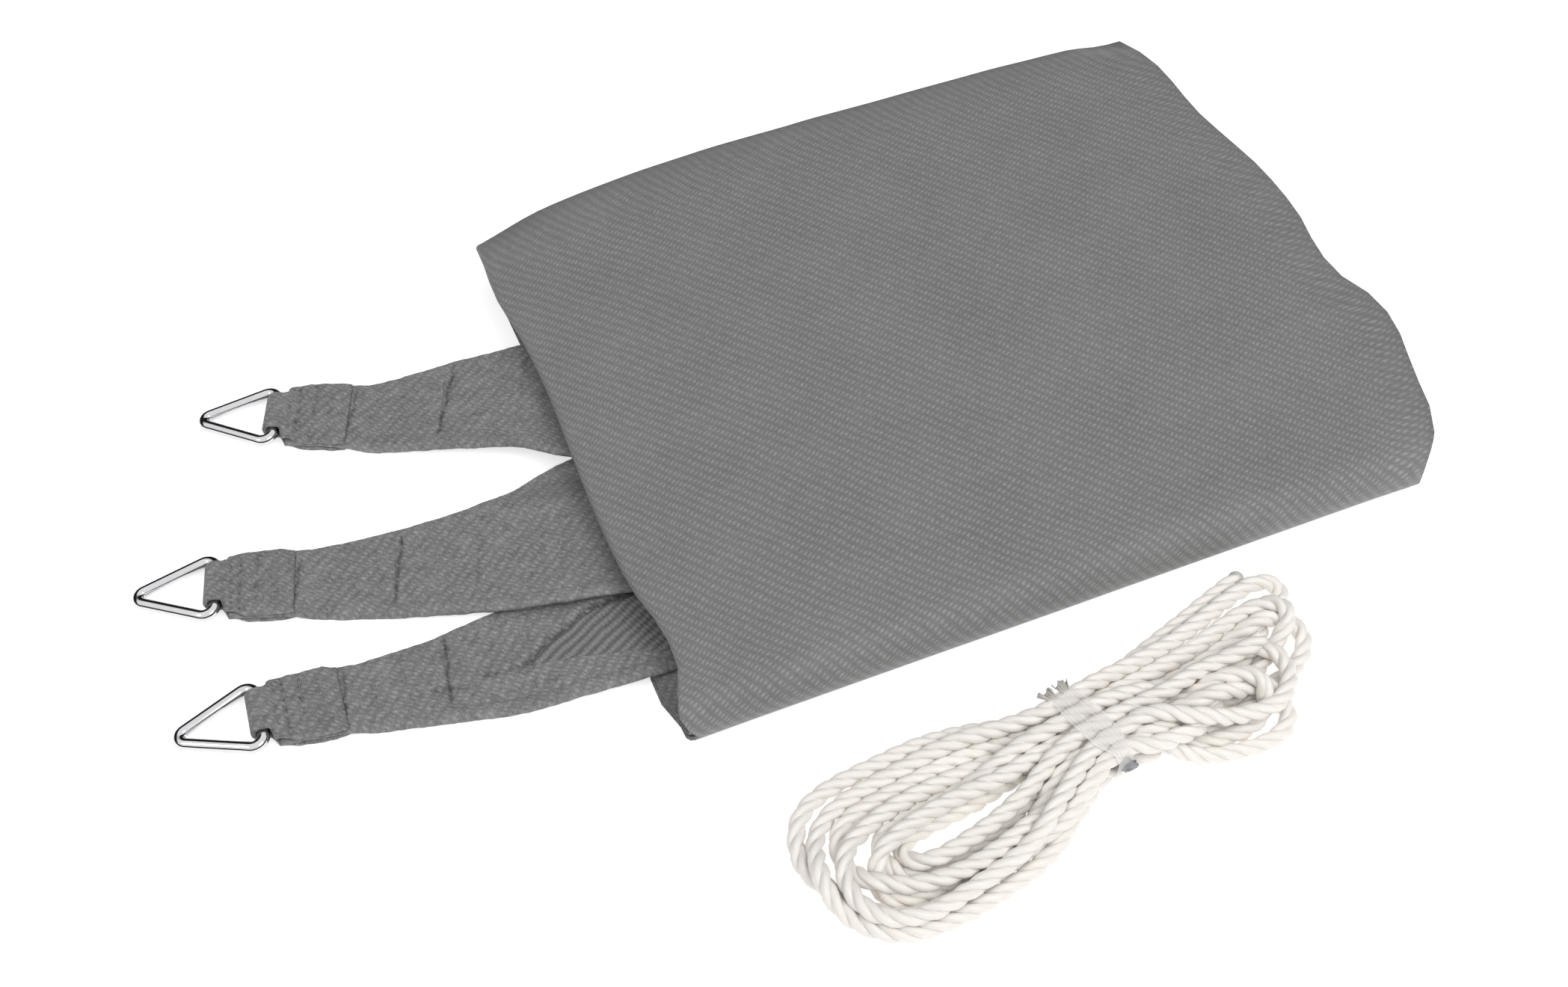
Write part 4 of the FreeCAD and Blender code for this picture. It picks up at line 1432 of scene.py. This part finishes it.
def ruffle(name, along, lean):
    """A gathered end of film: pleats that fan out from the film's far edge."""
    share = np.linspace(0.0, 1.0, RUFFLE_ROWS)[:, None]
    fan = np.linspace(-1.0, 1.0, RUFFLE_COLUMNS)[None, :]
    reach = far_edge[0] - 3.4 + share * (6.4 + 1.2 * np.sin(fan * 5.0 + lean))
    pleat = 1.0 * share * np.sin(fan * 13.0 + lean * 2) + 0.6 * share * np.sin(fan * 29.0)
    side = along + fan * (1.9 + 2.2 * share) + lean * share
    up = far_edge[1] + 0.7 + share * 2.6 - 2.2 * share ** 2 + pleat
    grid = np.array([[waist_point(*at) for at in zip(*row)] for row in zip(side, reach, up)])
    places = np.stack([fan * 8 + 0 * share, share * 6 + 0 * fan], axis=2)
    mesh = mesh_from_grids(name, [grid], [places], "wrap", wrap=False, caps=False)
    piece = piece_from_mesh(name, mesh, gathered_film, "rope", turn_out=False)
    apply_modifier(piece, "SOLIDIFY", thickness=FILM_FOLDS, offset=0.0)
    return piece


far_edge = section[np.argmax(section @ np.array((0.75, 0.66)))]
near_edge = section[np.argmin(section[:, 0])]
knot_at = waist_point(2.2, near_edge[0] + 1.4, near_edge[1] + 7.0)
knot = shaped_ball("film_knot", knot_at, KNOT_SIZE, 0.3, KNOT_DENTS,
                   knotted_film, KNOT_GRAIN)
knot_tail_at = waist_point(5.6, near_edge[0] + 0.4, near_edge[1] + 5.0)
knot_tail = shaped_ball("film_knot_tail", knot_tail_at, KNOT_TAIL_SIZE, 0.6, KNOT_TAIL_DENTS,
                        knotted_film, KNOT_TAIL_GRAIN)
ruffles = [ruffle("ruffle_left", -4.4, -1.2), ruffle("ruffle_right", 2.4, 1.0)]
print("a knot of", len(knot.data.polygons), "faces, its tail and", len(ruffles), "ruffles")


# %% [markdown]
# The first end of the rope was melted shut, so it is a rounded grey tip. The other end
# was cut and is left as the strands' own ends.

# %% Melted rope end
MELTED_SIZE, MELTED_DENTS, MELTED_GRAIN = (0.0038, 0.0041, 0.0040), 0.35, 2.2
tip_way = rope_line[0] - rope_line[3]
tip_turn = -math.atan2(tip_way[1], tip_way[0])
melted = shaped_ball("melted_rope_end", rope_line[0], MELTED_SIZE, tip_turn, MELTED_DENTS,
                     melted_end, MELTED_GRAIN)
print("melted end, turned by", round(math.degrees(tip_turn)), "degrees")


# %% [markdown]
# ## The rings
#
# A ring is one length of polished wire, bent at three places, with its two ends butted
# together inside the loop. Polish shows every facet, so the wire is swept along a finely
# stepped line: straight runs joined by true arcs, each a corner cut off by its bend.

# %% Rings
WIRE = 6.0
RING_BASE, RING_LEG = 38.0, 47.6
BASE_BEND, TIP_BEND = 5.0, 4.0
HALF_BUTT = 0.15             # half the gap between the wire's two ends
WIRE_SIDES = 28
WIRE_STEP = 0.6 * MM
BEND_PARTS = 14
ring_reach = math.sqrt(RING_LEG ** 2 - (RING_BASE / 2) ** 2)


def bent(before, corner, after, radius):
    """The arc that rounds a corner of a wire, in ring coordinates."""
    back, ahead = (before - corner).normalized(), (after - corner).normalized()
    half = back.angle(ahead) / 2
    middle = corner + (back + ahead).normalized() * (radius / math.sin(half))
    start = (corner + back * (radius / math.tan(half)) - middle).normalized()
    end = (corner + ahead * (radius / math.tan(half)) - middle).normalized()
    parts = range(BEND_PARTS + 1)
    return [middle + start.slerp(end, part / BEND_PARTS) * radius for part in parts]


def ring_line(corner):
    """The wire's middle line, from the bar's middle round and back to it."""
    near, far = Vector((0, -RING_BASE / 2, 0)), Vector((0, RING_BASE / 2, 0))
    tip = Vector((-ring_reach, 0, 0))
    line = [Vector((0, HALF_BUTT, 0)), *bent(near, far, tip, BASE_BEND),
            *bent(far, tip, near, TIP_BEND), *bent(tip, near, far, BASE_BEND),
            Vector((0, -HALF_BUTT, 0))]
    flat_reach = ring_reach - TIP_BEND / math.sin(math.atan2(RING_BASE / 2, ring_reach)) + TIP_BEND
    tilt = math.asin((BAR_UP - WIRE / 2) / flat_reach)
    u, v, _ = np.array(line).T
    return corner.place(u * math.cos(tilt), v, BAR_UP + u * math.sin(tilt))


for corner in CORNERS.values():
    line = resampled(ring_line(corner), WIRE_STEP)
    grid, place = tube_rings(line, np.full(len(line), WIRE / 2 * MM), WIRE_SIDES)
    mesh = mesh_from_grids(f"ring_wire_{corner.number}", [grid], [place], "lay")
    wire = piece_from_mesh(f"ring_wire_{corner.number}", mesh, ring_polish,
                           f"ring_{corner.number}")
    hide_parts(f"corner_ring_{corner.number}")
print("three rings,", len(line), "steps along each wire")


# %% [markdown]


# %% [markdown]
# ## Floor, light and sky
#
# The setting is a white light table: a floor that glows a little, so the object stands
# on pure white with hardly a shadow and gets light from below at its sides. A large
# soft lamp from the near side models the folds. The sky is white above and dark near
# the horizon, and dark higher up on the far side, because polished wire shows only what
# is round it, and it needs something dark to reflect to look like steel.

# %% Floor
TABLE_SIZE = 30.0
TABLE_GLOW = 0.56

bpy.ops.object.select_all(action="DESELECT")
bpy.ops.mesh.primitive_plane_add(size=TABLE_SIZE)
floor = bpy.context.object
floor.name = "light_table"
table = bpy.data.materials.new("light_table")
table.use_nodes = True
table_shader = table.node_tree.nodes["Principled BSDF"]
table_shader.inputs["Base Color"].default_value = (0.8, 0.8, 0.8, 1.0)
table_shader.inputs["Roughness"].default_value = 0.9
table_shader.inputs["Emission Color"].default_value = (1.0, 1.0, 1.0, 1.0)
table_shader.inputs["Emission Strength"].default_value = TABLE_GLOW
floor.data.materials.append(table)
print(floor.name, "of", TABLE_SIZE, "m")


# %% [markdown]
# The larger lamp stands on the near right and models the folds. The smaller one on the
# left brightens the packet's open end and the corners.

# %% Lamps
def soft_lamp(name, place, size, watts):
    """A square lamp that faces the middle of the object."""
    bpy.ops.object.light_add(type="AREA", location=place)
    lamp = bpy.context.object
    lamp.name = name
    lamp.data.size = size
    lamp.data.energy = watts
    lamp.rotation_euler = (-Vector(place)).to_track_quat("-Z", "Y").to_euler()
    return lamp


near_lamp = soft_lamp("near_lamp", (0.35, -0.85, 1.0), 0.6, 5.0)
left_lamp = soft_lamp("left_lamp", (-1.1, -0.2, 1.2), 0.35, 2.4)
print("lamps of", near_lamp.data.energy, "and", round(left_lamp.data.energy, 1), "W")


# %% [markdown]
# The sky's colour goes by height. Its nodes first lower the height of every direction
# that looks to the far side, so that the dark part reaches higher up there, and a colour
# ramp then turns height into dark or white.

# %% Sky
DARK_TO, WHITE_FROM = 0.32, 0.48     # heights in the sky, from 0 level to 1 overhead
FAR_LOWERS = 0.6
SKY_STRENGTH = 1.05

sky = bpy.data.worlds.new("studio")
bpy.context.scene.world = sky
sky.use_nodes = True
tree = sky.node_tree
background = tree.nodes["Background"]
where = tree.nodes.new("ShaderNodeTexCoord")
height = tree.nodes.new("ShaderNodeSeparateXYZ")
shades = tree.nodes.new("ShaderNodeValToRGB")
tree.links.new(where.outputs["Generated"], height.inputs[0])
towards_far = tree.nodes.new("ShaderNodeMath")
towards_far.operation = "MAXIMUM"
towards_far.inputs[1].default_value = 0.0
lowered = tree.nodes.new("ShaderNodeMath")
lowered.operation = "MULTIPLY_ADD"
lowered.inputs[1].default_value = -FAR_LOWERS
tree.links.new(height.outputs["Y"], towards_far.inputs[0])
tree.links.new(towards_far.outputs[0], lowered.inputs[0])
tree.links.new(height.outputs["Z"], lowered.inputs[2])
tree.links.new(lowered.outputs[0], shades.inputs["Fac"])
tree.links.new(shades.outputs["Color"], background.inputs["Color"])
dark, white = shades.color_ramp.elements
dark.position = DARK_TO
dark.color = (0.015, 0.015, 0.015, 1.0)
white.position = WHITE_FROM
white.color = (1.0, 1.0, 1.0, 1.0)
background.inputs["Strength"].default_value = SKY_STRENGTH
bpy.context.scene.view_settings.view_transform = "Standard"
print("sky dark up to", DARK_TO, "and white from", WHITE_FROM)
